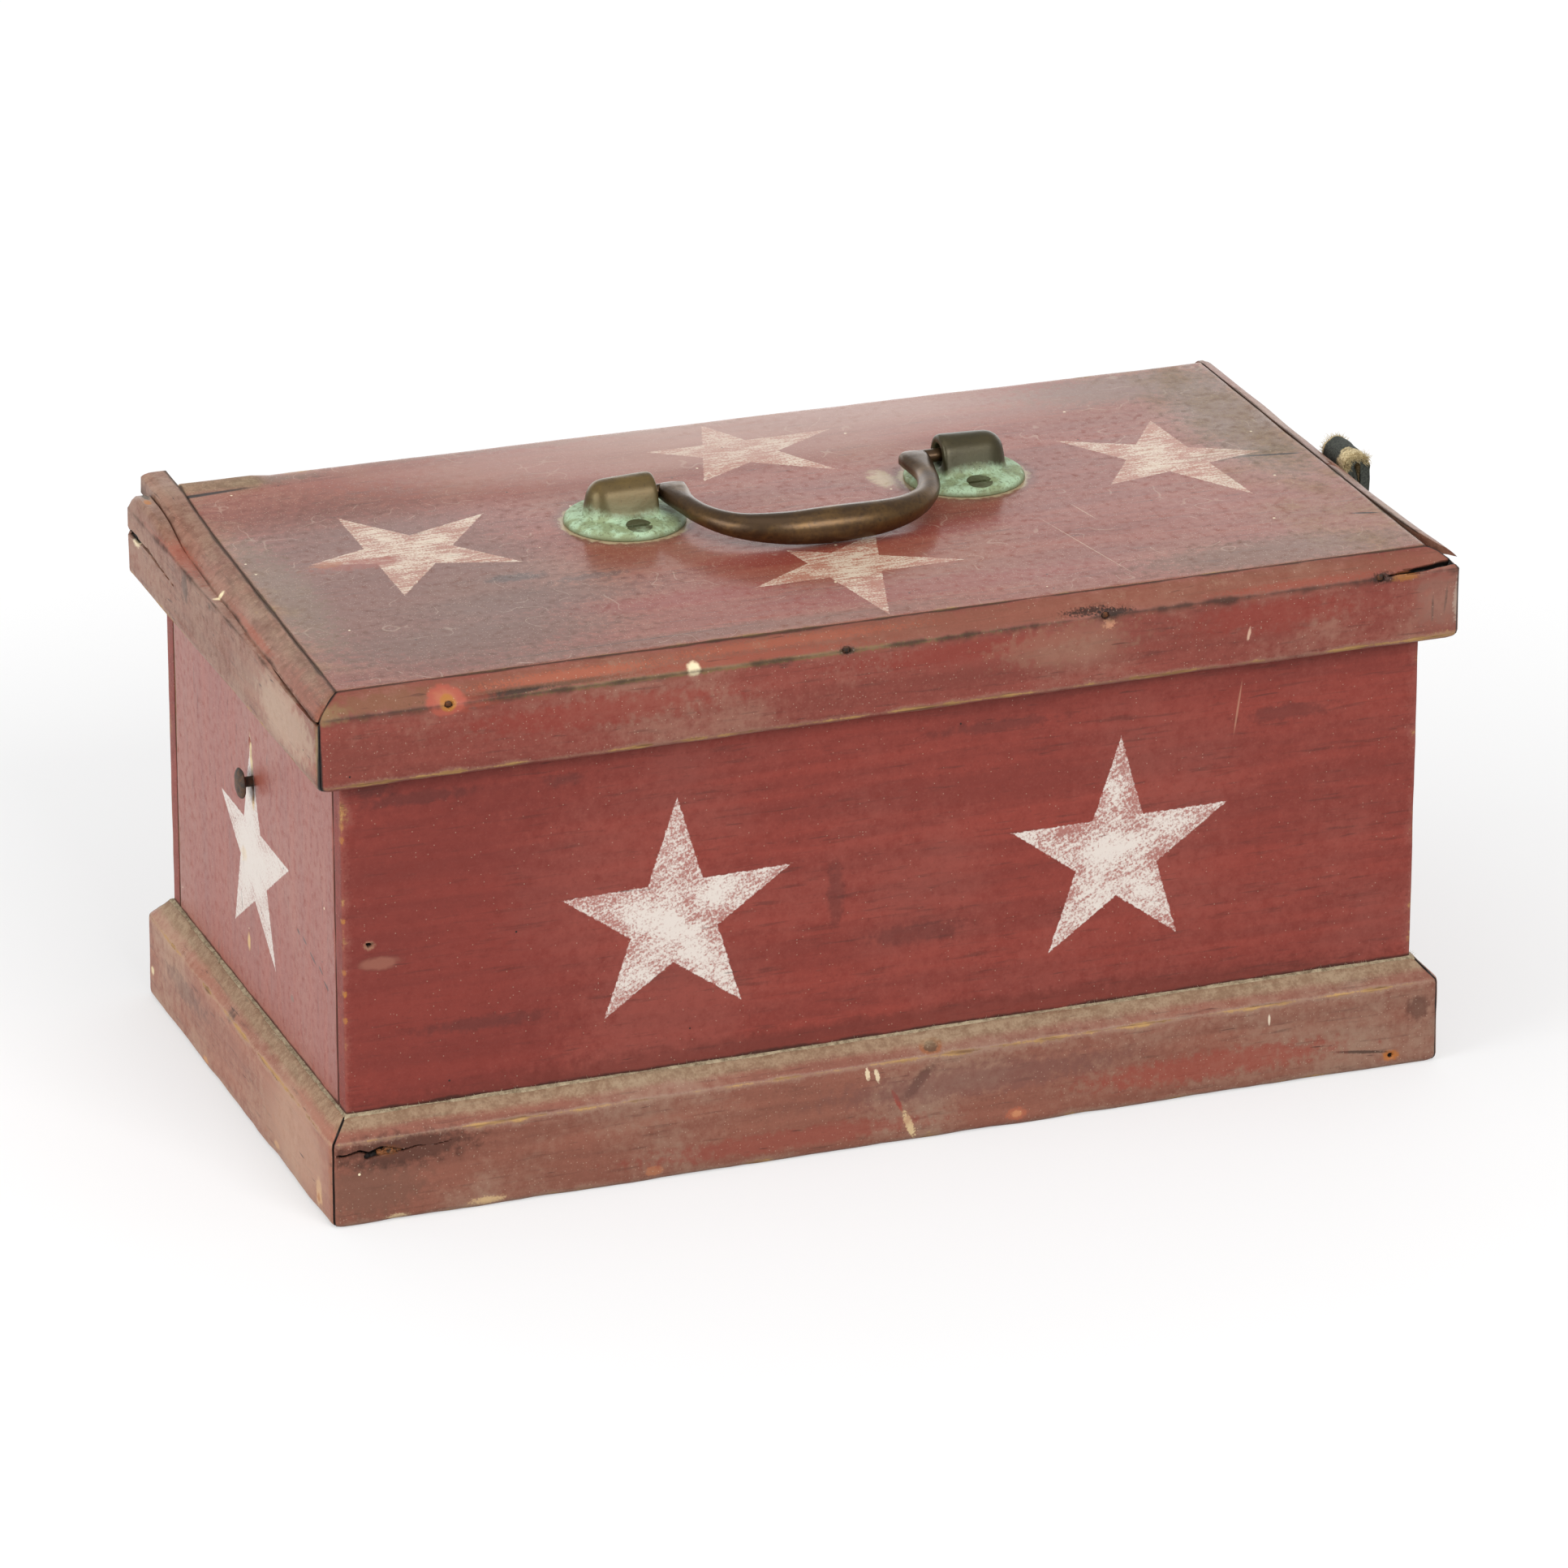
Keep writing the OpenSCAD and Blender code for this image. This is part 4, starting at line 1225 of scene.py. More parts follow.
LID_SPOTS: Table = (
    # These two rows: deeper red under the bail's grip, painted shade where the handle keeps the sheen off the
    # lid.
    (-20, -36, 30, 10, "#7c2a22", 0.5, 1.4),
    (45, -28, 34, 10, "#7c2a22", 0.5, 1.4),
    (-110, -44, 60, 16, "#634238", 0.5, 1.8),
    (-140, -72, 75, 22, "#6f4a3c", 0.6, 1.8),
    (-150, -20, 80, 120, "#5d4034", 0.6, 0.8),
    (-190, -10, 16, 70, "#6e5643", 0.65, 1.8),
    (-170, 97, 40, 7, "#6f5443", 0.8, 1.2),
    (188, 40, 26, 80, "#604a38", 0.75, 1.6),
    (176, 6, 34, 6, "#543c2c", 0.7, 1.4),
    (165, 86, 60, 20, "#66493a", 0.7, 1.6),
    (150, -90, 70, 18, "#644634", 0.65, 1.6),
    (-110, -22, 14, 5, "#3a3230", 0.6, 1.6),
    (-84, -30, 18, 4, "#403432", 0.5, 1.6),
    (-60, -62, 46, 9, "#86342b", 0.5, 1.8),
    (-60, -96, 120, 7, "#6a4a3a", 0.5, 1.6),
    (20, -80, 80, 12, "#84352c", 0.5, 1.8),
    (-60, 100, 110, 4, "#6a4c3e", 0.6, 1.6),
    (89, -62, 0.3, 40, "#bfa58c", 0.5, 0.9, 9.6, 0.5, 0, 4),
    (101, -30, 0.3, 12, "#c2aa90", 0.5, 0.9, 9, 0.5, 0, 4),
    (46, 26, 6, 12, "#c4b592", 0.6, 1.4),
    # A pale patch over the lid's back: painted sheen, partly dust.
    (30, 96, 120, 26, "#a68c80", 0.35),
    (-95, -94, 70, 0.35, "#3a2720", 0.7, 0.4, 1, 0.5, 0, 3),
)
LID_OVER_SPOTS: Table = (
    # A pale haze over the lid's back: painted sheen, partly dust.
    (10, 84, 170, 34, "#c4aca2", 0.32, 0.7, 0, 0.5, 0, 12),
    (-156, 9, 24, 6, "#8c4230", 0.6, 1.6),
    (-167, 12.5, 9, 3.4, "#9c5f3a", 0.6, 1.4),
    (-194, 89.7, 34, 1.7, "#1a110d", 0.95, 0.12, 4, 0.5, 0, 6),
    (186.7, 0.9, 15, 1, "#1a110d", 0.95, 0.12, -10.4, 0.5, 0, 6),
    (194.2, -65.9, 6.5, 0.9, "#1a110d", 0.95, 0.12, -15, 0.5, 0, 6),
)
LIP_FRONT_SPOTS: Table = (
    (30, 184, 60, 5, "#83342a", 0.5, 1.8),
    (-110, 180, 60, 7, "#83342a", 0.5, 1.8),
    (140, 182, 40, 7, "#83342a", 0.5, 1.8),
    (0, 193, 440, 7, "#7c523f", 0.5, 1.6, 0, 0.5, 4, 9),
    (200, 176, 0.6, 6, "#33241f", 0.7, 0.8, 0, 0.5, 0, 4),
    (205, 179, 0.6, 7, "#33241f", 0.7, 0.8, 6, 0.5, 0, 4),
    (-190, 192, 34, 5, "#745038", 0.5, 1.6, 0, 0.5, 4, 6),
    (-120, 193.6, 42, 2, "#a0563e", 0.6, 2.2, 0, 0.5, 3, 6),
    (-40, 194.6, 60, 1.6, "#9a523c", 0.5, 2.2, 0, 0.5, 4, 6),
    (-130, 191.6, 50, 0.9, "#4a3a28", 0.6, 2.2, 0, 0.5, 2),
    (-143, 191, 20, 0.9, "#2e2119", 0.85, 1.0, -1, 0.5, 1),
    (-60, 189.8, 120, 1.2, "#6f5c38", 0.75, 2.0),
    (-207, 191, 10, 3.4, "#7f6a48", 0.6, 1.8, 0, 0.5, 3, 6),
    (-60, 191.6, 60, 1.6, "#8d4433", 0.5, 1.8, 0, 0.5, 1),
    (150, 191.6, 40, 1.6, "#8a4031", 0.5, 1.8, 0, 0.5, 1),
    (-158, 190.5, 15, 4.6, "#8f3f2e", 0.5, 1.8),
    (-164.8, 191, 8, 5.4, "#9d4f3f", 0.95, 0.5, 0, 0.2, 0, 14),
    (-164.6, 191.6, 5.6, 3.6, "#a5634a", 0.75, 0.9, 0, 0.5, 0, 14),
    (-164.4, 190.4, 3.4, 3.2, "#a06a2c", 0.85, 0.4, 0, 0.3, 0, 14),
    (-76, 190.6, 3.2, 3.2, "#e0cfab", 0.95, 0.9),
    (70, 192.2, 13, 1.8, "#20140f", 0.85, 2.2),
    (79, 190.8, 9, 1.6, "#20140f", 0.85, 2.2),
    (77, 186.8, 2.8, 2.6, "#b98467", 0.85, 2.0),
    (60, 181, 34, 9, "#8f6a57", 0.45, 2.2),
    (-20, 190, 4, 2, "#33231c", 0.8, 1.2),
    (181, 190, 6, 2.6, "#26180f", 0.85, 1.4),
    (189.5, 189.4, 6, 2, "#94602f", 0.85, 1.6),
    (209.6, 178, 2.4, 10, "#b9a697", 0.75, 2.0),
    (204, 180, 12, 14, "#8a6c5e", 0.4, 2.6, 0, 0.5, 0, 6),
    (205, 165.5, 10, 2, "#a08058", 0.7, 2.4, 0, 0.5, 0, 6),
    (130, 176, 0.8, 3.2, "#c9a58e", 0.8, 0.8, 10),
)
LIP_SIDE_SPOTS: Table = (
    (-76, 177, 46, 15, "#b49a84", 0.65, 1.4, 0, 0.5, 0, 6),
    (-112, 177, 2, 15, "#84724e", 0.7, 1.6, 0, 0.5, 1, 6),
    (40, 184, 5, 8, "#46392f", 0.6, 1.6, 0, 0.5, 0, 6),
    (-20, 195, 120, 3, "#6d5140", 0.6, 1.8, 0, 0.5, 5, 7),
    (60, 190.6, 46, 2.4, "#9c5240", 0.6, 1.8, 0, 0.5, 3),
    (-30, 191.2, 34, 1.4, "#96503c", 0.6, 1.8, 0, 0.5, 4),
    (11, 190.8, 1.8, 3.2, "#e8d7ae", 0.95, 0.8, 0, 0.5, 3.7, 3),
    (10.5, 187.2, 2.4, 2, "#4a3424", 0.85, 1.0, 0, 0.5, 2, 4),
    (96, 195.2, 2.8, 3, "#a5641f", 0.95, 0.8, 0, 0.3, 3.5, 1.7),
    (101.5, 195.2, 4.2, 3, "#1d1510", 0.95, 0.8, 0, 0.3, 4.5, 1.5),
    (100, 180, 6, 2.6, "#e1cfab", 0.9, 1.2),
    (118, 192, 10, 6, "#5c4335", 0.7, 1.4, 0, 0.5, 4, 9),
)


@dataclass
class Case:
    """The nailed board case."""

    arris: float = 1.0

    def build(self) -> None:
        """Builds and dresses the boards."""
        front = PaintedWood("front_paint", wear=0.2, stars=FRONT_STARS, specks=0.04,
                            blots=CASE_FRONT.blots(CASE_FRONT_SPOTS))
        back = PaintedWood("back_paint", fade=0.5, pores=0.7)
        ends = {"grain": Axis.Z, "face": (Axis.Y, Axis.Z), "paint": "#964d3d", "shade": "#884438",
                "faded": "#9c6858", "fade": 0.5, "pores": 0.75, "varnish": 0.68, "wear": 0.2, "specks": 0.06,
                "stars": (LEFT_STAR,)}
        left = PaintedWood("left_end_paint", star_rub=0.1, over=CASE_LEFT.blots(CASE_LEFT_SPOTS), **ends)
        right = PaintedWood("right_end_paint", star_rub=0.5, **ends)
        inside = INSIDE_LONG.material()
        inside_ends = INSIDE_ENDS.material()
        self.board("front_board", front, inside, Vector((0, -1, 0)), 1.0)
        self.board("back_board", back, inside, Vector((0, 1, 0)), 2.0)
        self.board("left_end_board", left, inside_ends, Vector((-1, 0, 0)), 3.0)
        self.board("right_end_board", right, inside_ends, Vector((1, 0, 0)), 4.0)
        carving = Board.of("bottom_board", arris=0.8, seed=5.0).carve()
        carving.finish("case_bottom", [UNDER.material()], Body.CASE, Slot.BARE, ("bottom_board",))

    def board(self, node: str, paint: PaintedWood, inside: Material, outward: Vector, seed: float) -> None:
        """Builds one wall.

        Args:
            node: Node that it replaces.
            paint: Its paint outside.
            inside: Its finish inside.
            outward: Direction out of the case.
            seed: Seed of its wear.
        """
        carving = Board.of(node, arris=self.arris, seed=seed).carve()
        foot = node_box("plinth_front")[1].z
        carving.cut(Axis.Z, [foot + rise for rise in (-0.5, 0.9, 1.8, 3.2)])
        # Darker band along the wall's foot just above the ledge: partly grime, partly painted shade where the
        # wall meets the ledge.
        carving.set_mark("grime", lambda co: 1.2 - 0.45 * abs(co.z - foot))
        self.close_joints(carving)
        if node == "left_end_board":
            low, high = node_box("end_nail")
            nail = (low + high) / 2
            nail.x = node_box(node)[0].x
            split = [nail + Vector((0, *step)) for step in ((1.8, 15.0), (0.2, 6.0), (-1.0, -7.0))]
            carving.gouge(split, 0.7, 1.8)
        if node == "front_board":
            carving.gouge([Vector((-190.6, node_box(node)[0].y, 101.0))], 1.2, 2.2)
        name = node.replace("_board", "_wall")
        carving.finish(name, [paint.material(), inside], Body.CASE, Slot.RED, (node,),
                       lambda face: int(face.normal.dot(outward) < INWARD))

    @staticmethod
    def close_joints(carving: Carving) -> None:
        """Darkens the joints between the boards, which aren't rubbed bare.

        Args:
            carving: One of the boards.
        """
        joint = node_box("left_end_board")[1].y
        end = node_box("front_board")[1].x
        edge = carving.bm.verts.layers.float["edge"]
        for vert in carving.bm.verts:
            if abs(abs(vert.co.y) - joint) < 6.0:
                vert[edge] = min(vert[edge], abs(abs(vert.co.y) - joint) / 6.0)
        carving.set_mark("grime", lambda co: 1.3 - abs(abs(co.y) - joint) if abs(co.x) > end - 0.8 else 0.0)


def arc(middle: Point, radius: float, start: float, end: float, steps: int) -> list[Point]:
    """Returns points along an arc, with angles in degrees."""
    angles = [math.radians(start + (end - start) * i / steps) for i in range(steps + 1)]
    return [(middle[0] + radius * math.cos(a), middle[1] + radius * math.sin(a)) for a in angles]


def chord(first: Point, last: Point, steps: int) -> list[Point]:
    """Returns points between two others, without the last."""
    return [(first[0] + (last[0] - first[0]) * i / steps, first[1] + (last[1] - first[1]) * i / steps)
            for i in range(steps)]


@dataclass(frozen=True)
class Side:
    """One side of the case: how it runs, half its length, and its distance from the middle."""

    name: str
    run: Axis
    sign: int
    half: float
    reach: float

    @classmethod
    def all_four(cls) -> list["Side"]:
        """Returns the case's four sides."""
        x, y = node_box("bottom_board")[1].xy
        return [cls("front", Axis.X, -1, x, y), cls("back", Axis.X, 1, x, y),
                cls("left", Axis.Y, -1, y, x), cls("right", Axis.Y, 1, y, x)]

    def put(self, along: float, out: float, up: float) -> Vector:
        """Returns the place at a distance along this side, out from it and up."""
        across = self.sign * (self.reach + out)
        return Vector((along, across, up)) if self.run is Axis.X else Vector((across, along, up))

    def flat(self, co: Vector) -> Point:
        """Returns how far along this side and out from it a place is."""
        along, across = (co.x, co.y) if self.run is Axis.X else (co.y, co.x)
        return along, self.sign * across - self.reach


@dataclass
class Plinth:
    """The four mitred strips round the foot of the case."""

    chamfer: float = 7.0
    ledge: float = 1.6
    arris: float = 2.5
    corner: float = 3.0

    def build(self) -> None:
        """Builds and dresses the four strips."""
        low, high = node_box("plinth_front")
        tall, wide = high.z, node_box("bottom_board")[0].y - low.y
        outline = [*chord((0, 0), (wide - self.arris, 0), 3),
                   *arc((wide - self.arris, self.arris), self.arris, -90, 0, 4),
                   *chord((wide, self.arris + 3), (wide, tall - self.chamfer - 1.2), 6),
                   (wide, tall - self.chamfer - 1.2), (wide - 0.25, tall - self.chamfer + 0.2),
                   *chord((wide - 0.9, tall - self.chamfer + 1.0), (self.ledge, tall), 5),
                   *chord((self.ledge, tall), (0, tall), 2), *chord((0, tall), (0, 0), 6)]
        front = PaintedWood("plinth_front_paint", paint="#885545", shade="#784a3c", faded="#917563", fade=0.8,
                            pores=0.7, wear=0.6, specks=0.2, varnish=0.1,
                            blots=PLINTH_FRONT.blots(PLINTH_FRONT_SPOTS))
        ends = PaintedWood("plinth_side_paint", Axis.Y, (Axis.Y, Axis.Z), paint="#a06a54", shade="#8a5846",
                           faded="#a9876f", fade=0.9, pores=0.8, wear=0.6, specks=0.2, varnish=0.3,
                           blots=PLINTH_LEFT.blots(PLINTH_SIDE_SPOTS))
        long_paint, end_paint = front.material(), ends.material()
        for number, side in enumerate(Side.all_four()):
            moulding = Moulding(outline, -side.half, side.half, corner=self.corner)
            carving = moulding.carve(side.put)
            moulding.open_mitres(carving, side.flat)
            self.weather(carving, wide, tall, lambda co: side.flat(co)[1])
            carving.wobble(0.35, 0.05, 7.0 + number)
            carving.wobble(0.18, 0.22, 9.0 + number)
            if side.name == "front":
                self.crack_corner(carving, low.y)
                self.rust_nail(low.y)
            paint = long_paint if side.run is Axis.X else end_paint
            node = f"plinth_{side.name}"
            carving.finish(f"{node}_strip", [paint], Body.CASE, Slot.RED, (node,))

    @staticmethod
    def crack_corner(carving: Carving, y: float) -> None:
        """Opens the rusted crack at the front strip's left end, and a nail hole at its right end.

        Args:
            carving: The front strip.
            y: Place of its face.
        """
        crack = ((-208.5, 27.6), (-203, 27), (-198, 28.2), (-193, 26.4), (-188, 28), (-182, 26.2),
                 (-177, 27.2), (-171, 26.6), (-165, 27.4))
        hole = ((-195, 26), (-190, 27.2), (-183, 26.4))
        carving.gouge([Vector((x, y, z)) for x, z in crack], 0.55, 2.6, 4, True)
        carving.gouge([Vector((x, y, z)) for x, z in hole], 1.7, 3.4, 1, True)
        carving.gouge([Vector((189.5, y, 5.0))], 1.2, 1.8)

    @staticmethod
    def rust_nail(y: float) -> None:
        """Builds the rusted nail that shows in the crack.

        Args:
            y: Place of the front strip's face.
        """
        carving = Carving()
        bmesh.ops.create_icosphere(carving.bm, subdivisions=4, radius=1.0)
        carving.scale((4.6, 1.5, 1.7))
        carving.move((-187.0, y + 1.9, 26.0))
        carving.wobble(0.9, 0.5, 12.0)
        carving.wobble(0.4, 1.6, 13.0)
        rust = RustyIron("crack_iron", "#33200f", "#93572a").material()
        carving.finish("crack_rust", [rust], Body.CASE, Slot.IRON)

    def weather(self, carving: Carving, wide: float, tall: float, out_of: Measure) -> None:
        """Marks where a strip is worn and dusty.

        Args:
            carving: The strip.
            wide: Thickness of the strip.
            tall: Height of the strip.
            out_of: Distance of a place out from the case.
        """
        foot, brow = Vector((wide, 0)), Vector((wide, tall - self.chamfer))

        def section(co: Vector) -> Vector:
            """Returns a place in the section."""
            return Vector((out_of(co), co.z))

        carving.set_mark("edge", lambda co: max(1.0 - (section(co) - foot).length / 6.0,
                                                1.1 - (section(co) - brow).length / 2.6))
        carving.set_mark("dust", lambda co: 0.1 + 1.25 * smooth((co.z - tall + self.chamfer - 0.5) / 7.0)
                         if co.z > tall - self.chamfer - 1 else 0.0)


@dataclass
class Lid:
    """The lid board and its three nailed lips."""

    chamfer: float = 7.0
    fullness: float = 1.4
    arris: float = 3.0
    skew: float = 7.0
    split: float = 1.2
    splinter: float = 88.0
    splinter_angle: float = 2.4
    corner: float = 3.2
    head_width: float = 2.6
    head_sink: float = 2.6
    tail_rise: float = 6.4
    tail_round: float = 8.0
    warp: float = 2.2
    warp_start: float = 45.0
    warp_run: float = 58.0
    gape_start: float = 20.0
    gape_run: float = 40.0
    tip_lost: float = 6.5
    front_nails: tuple[float, ...] = (-164.0, -76.0, -20.0, 76.0, 180.0)
    filled_nail: float = -76.0
    end_nails: tuple[float, ...] = (-73.4, 20.4, 85.7)

    def __post_init__(self) -> None:
        """Takes the lid's sizes from its nodes."""
        self.low, self.high = node_box("lid_board")
        self.out = self.high.x
        self.top = self.high.z
        strip_low, strip_high = node_box("lid_strip_front")
        self.wide = self.low.y - strip_low.y
        self.tall = strip_high.z - strip_low.z
        self.foot = strip_low.z
        self.crease = self.top - self.chamfer
        self.level = self.crease - self.foot
        self.strip_back = node_box("lid_strip_right")[1].y
        self.cap_back = node_box("lid_cap_left")[1].y
        self.depth = self.high.y - self.low.y

    def build(self) -> None:
        """Builds and dresses the lid."""
        self.build_board()
        front = PaintedWood("front_lip_paint", paint="#834036", shade="#72372e", faded="#8f6858", fade=0.75,
                            pores=0.6, wear=0.6, specks=0.15,
                            blots=Face(Axis.Y, self.low.y - self.wide).blots(LIP_FRONT_SPOTS))
        side = PaintedWood("side_lip_paint", Axis.Y, (Axis.Y, Axis.Z), paint="#8e5644", shade="#6f4535",
                           faded="#957562", fade=0.8, pores=0.8, wear=0.65, specks=0.15, varnish=0.3,
                           blots=Face(Axis.X, -self.out - self.wide).blots(LIP_SIDE_SPOTS))
        self.front_paint, self.side_paint = front.material(), side.material()
        self.build_front()
        self.build_left()
        self.build_cap()
        self.build_right()
        self.build_splinter()
        self.build_nails()

    def outline(self) -> list[Point]:
        """Draws the section of a lip: square inside, rounded below, nosed on top.

        Returns:
            Its points, out from the lid board and up.
        """
        nose = []
        for i in range(10):
            a = math.radians(90 * i / 9)
            out = self.wide * max(0.0, math.cos(a)) ** (2 / self.fullness)
            nose.append((out, self.tall - self.chamfer + self.chamfer * math.sin(a) ** (2 / self.fullness)))
        return [*chord((0, 0), (self.wide - self.arris, 0), 3),
                *arc((self.wide - self.arris, self.arris), self.arris, -90, 0, 4),
                *chord((self.wide, self.arris + 2.5), (self.wide, self.tall - self.chamfer), 6),
                *nose, *chord((0, self.tall - 1.5), (0, 1.5), 5)]

    def weather(self, carving: Carving, out_of: Measure, nose_wear: float = 0.7) -> None:
        """Marks where a lip is worn, grimy and dusty.

        Args:
            carving: The lip.
            out_of: Distance of a place out from the lid board.
            nose_wear: How far the nose is worn.
        """
        foot = Vector((self.wide - 0.5, self.foot + 1.8))
        nose = Vector((0.45 * self.wide, self.top - 1.5))
        crease = Vector((self.wide, self.crease + 0.6))
        joint = Vector((0, self.top))

        def section(co: Vector) -> Vector:
            """Returns a place in the section."""
            return Vector((out_of(co), co.z))

        carving.set_mark("edge", lambda co: max(1.2 - (section(co) - foot).length / 2.4,
                                                nose_wear - (section(co) - nose).length / 9.0))
        carving.set_mark("grime", lambda co: max(0.75 - 0.35 * (section(co) - crease).length,
                                                 1.0 - 0.7 * (section(co) - joint).length))
        carving.set_mark("dust", lambda co: 0.64 * nose_wear * smooth((co.z - self.crease) / self.chamfer))

    def knocked(self, y: float) -> float:
        """Returns how much height a strip's rounded tail has lost at a place along it."""
        past = max(0.0, y - self.strip_back + self.tail_round)
        return self.tail_round - math.sqrt(max(0.0, self.tail_round**2 - past**2))

    def warped(self, y: float) -> float:
        """Returns how far the lid's left end has risen at a place along it."""
        return self.warp * smooth((y - self.warp_start) / self.warp_run)

    def shut(self, along: float) -> float:
        """Returns how far the left lip's split has closed at a place along it."""
        return smooth((along - self.low.y - self.gape_start) / self.gape_run)

    def nosed(self, out: float, up: float) -> bool:
        """Tells whether a point of the section is on the nose, above the split."""
        return out > MERGED and up > self.level + MERGED

    def build_board(self) -> None:
        """Builds the lid board with its cracks."""
        board = Board(self.low, self.high, 7.0, 0.9, 11.0)
        carving = board.carve()
        for vert in carving.bm.verts:
            share = (self.out - vert.co.x) / (2 * self.out)
            vert.co.x += self.skew * share * (vert.co.y - self.low.y) / self.depth
            curl = smooth((-160.0 - vert.co.x) / 6.0) * smooth((vert.co.y - 90.0) / 10.0)
            lift = share * self.warped(vert.co.y) + 0.7 * curl
            vert.co.z += lift * smooth((vert.co.z - self.low.z) / 8.0)
        carving.set_mark("grime", lambda co: 0.0 if co.y > self.high.y - 1.5 else 1.25 - 0.8 * min(
            co.y - self.low.y, self.out - co.x,
            co.x + self.out - self.skew * (co.y - self.low.y) / self.depth))
        carving.set_mark("dust", lambda co: max(
            0.55 * smooth((co.x - 120.0) / 70.0), 0.45 * smooth((-160.0 - co.x) / 40.0),
            0.8 * smooth((-158.0 - co.x) / 8.0) * smooth((co.y - 84.0) / 8.0)))
        low = node_box("handle_base_left")[0]
        high = node_box("handle_base_right")[1]
        radius = (high.y - low.y) / 2
        crust_and_shade_rings = tuple((x, (low.y + high.y) / 2, radius) for x in (low.x + radius, high.x - radius))
        face = Face(Axis.Z, self.top)
        paint = PaintedWood("lid_paint", face=(Axis.X, Axis.Y), paint="#8b4736", shade="#7b3c2e",
                            faded="#8e604c", fade=0.6, pores=0.6, wear=0.3, stars=LID_STARS,
                            star_colour="#cbbaa5", ghost="#a9664f", star_rub=0.75, stroke=0.0, streak=1.0,
                            blots=face.blots(LID_SPOTS), crust_and_shade_rings=crust_and_shade_rings, over=face.blots(LID_OVER_SPOTS),
                            specks=0.6, varnish=0.55, blur=0.13)
        carving.finish("lid_panel", [paint.material(), UNDER.material()], Body.LID, Slot.WORN, ("lid_board",),
                       lambda side: int(side.normal.z < INWARD))

    def nose_out(self, z: float) -> float:
        """Returns how far out the nose of a lip stands at a height."""
        share = min(1.0, max(0.0, (z - self.crease) / self.chamfer)) ** (self.fullness / 2)
        return self.wide * (1.0 - share**2) ** (1 / self.fullness)

    def build_front(self) -> None:
        """Builds the front lip with its nail holes and its cracked end."""
        moulding = Moulding(self.outline(), -self.out, self.out, corner=self.corner)
        carving = moulding.carve(lambda along, out, up: Vector((along, self.low.y - out, self.foot + up)))
        moulding.open_mitres(carving, lambda co: (co.x, self.low.y - co.y), 2.4)
        self.weather(carving, lambda co: self.low.y - co.y, 0.4)
        carving.wobble(0.35, 0.04, 21.0)
        carving.wobble(0.16, 0.2, 22.0)
        for x in self.front_nails:
            if x != self.filled_nail:
                carving.gouge([self.on_nose(x, self.crease + 0.8)], 1.8, 2.6)
        path = ((183.0, 190.4), (190.0, 191.0), (197.0, 191.4), (204.0, 191.9), (211.0, 192.3))
        carving.gouge([self.on_nose(*point) for point in path[::-1]], 1.2, 3.2, 4, True)
        carving.finish("lip_front", [self.front_paint], Body.LID, Slot.RED, ("lid_strip_front",))

    def on_nose(self, x: float, z: float) -> Vector:
        """Returns a place on the front lip's nose."""
        return Vector((x, self.low.y - self.nose_out(z), z))

    def build_nails(self) -> None:
        """Builds the sunken heads of the lips' nails."""
        carving = Carving()
        outer = self.low.y - self.wide
        heads = [Vector((x, outer + self.head_sink, self.crease + 0.6)) for x in self.front_nails]
        heads += [Vector((side * (self.out + self.wide - 2 * self.head_sink), y, self.crease - 3.0))
                  for side in (-1, 1) for y in self.end_nails]
        for head in heads:
            made = bmesh.ops.create_cube(carving.bm, size=self.head_width)["verts"]
            carving.move(head, made)
        bmesh.ops.bevel(carving.bm, geom=carving.bm.edges, offset=0.4, affect="EDGES", segments=2,
                        profile=0.5, material=-1)
        iron = RustyIron("lip_iron").material()
        carving.finish("lip_nail_heads", [iron], Body.LID, Slot.IRON, ("lid_nails",))

    def side(self, mirrored: int) -> Put:
        """Returns the function that puts a point of an end lip in place."""
        return lambda along, out, up: Vector((mirrored * (self.out + out), along, self.foot + up))

    def build_left(self) -> None:
        """Builds the lower piece of the split left lip."""
        moulding = Moulding(self.outline(), self.low.y, self.strip_back, 1.0, 0.0, self.corner)
        outer, crown, lean = 0.4, 0.8, 1.2

        def trim(along: float, out: float, up: float) -> Point:
            """Cuts the section at the split, and leaves its outer part standing towards the tail."""
            torn = 0.3 * rough(Vector((along, out, 0)), 0.18, 31.0)
            shut = self.shut(along)
            cut = self.level - 0.1 - self.split * (1.0 - shut) + 0.35 * shut + torn
            if not self.nosed(out, up):
                return out, min(up, cut)
            rise = max(0.0, self.tail_rise * smooth((along - 40.0) / 50.0) - self.knocked(along))
            inner = self.wide - max(1.6, self.skew * (along - self.low.y) / self.depth - 0.5)
            height = min(1.0, (up - self.level) / self.chamfer)
            turn = math.asin(height ** (self.fullness / 2)) / (math.pi / 2)
            if turn < outer:
                return self.wide - lean * (turn / outer) ** 2, cut + rise * turn / outer
            if turn < crown:
                back = (turn - outer) / (crown - outer)
                return self.wide - lean + (inner - self.wide + lean) * back, cut + rise
            return inner * (1.0 - turn) / (1.0 - crown), cut

        carving = moulding.carve(self.side(-1), trim)
        moulding.open_mitres(carving, lambda co: (co.y, -self.out - co.x), 3.0)
        self.weather(carving, lambda co: -self.out - co.x)
        carving.wobble(0.3, 0.05, 32.0)
        x = -self.out - self.wide
        path = ((self.strip_back, 180.6), (98.0, 181.0), (86.0, 181.6), (70.0, 180.4), (54.0, 179.4))
        carving.gouge([Vector((x, y, z)) for y, z in path], 0.6, 2.4, runs_out=True)
        carving.gouge([Vector((x, y, z)) for y, z in path[:2]], 1.5, 3.2, 1)
        carving.finish("lip_left", [self.side_paint], Body.LID, Slot.RED, ("lid_strip_left",))

    def build_cap(self) -> None:
        """Builds the cap that split off the left lip and turned with the board's end."""
        moulding = Moulding(self.outline(), self.low.y, self.cap_back, 1.0, 0.0, self.corner)

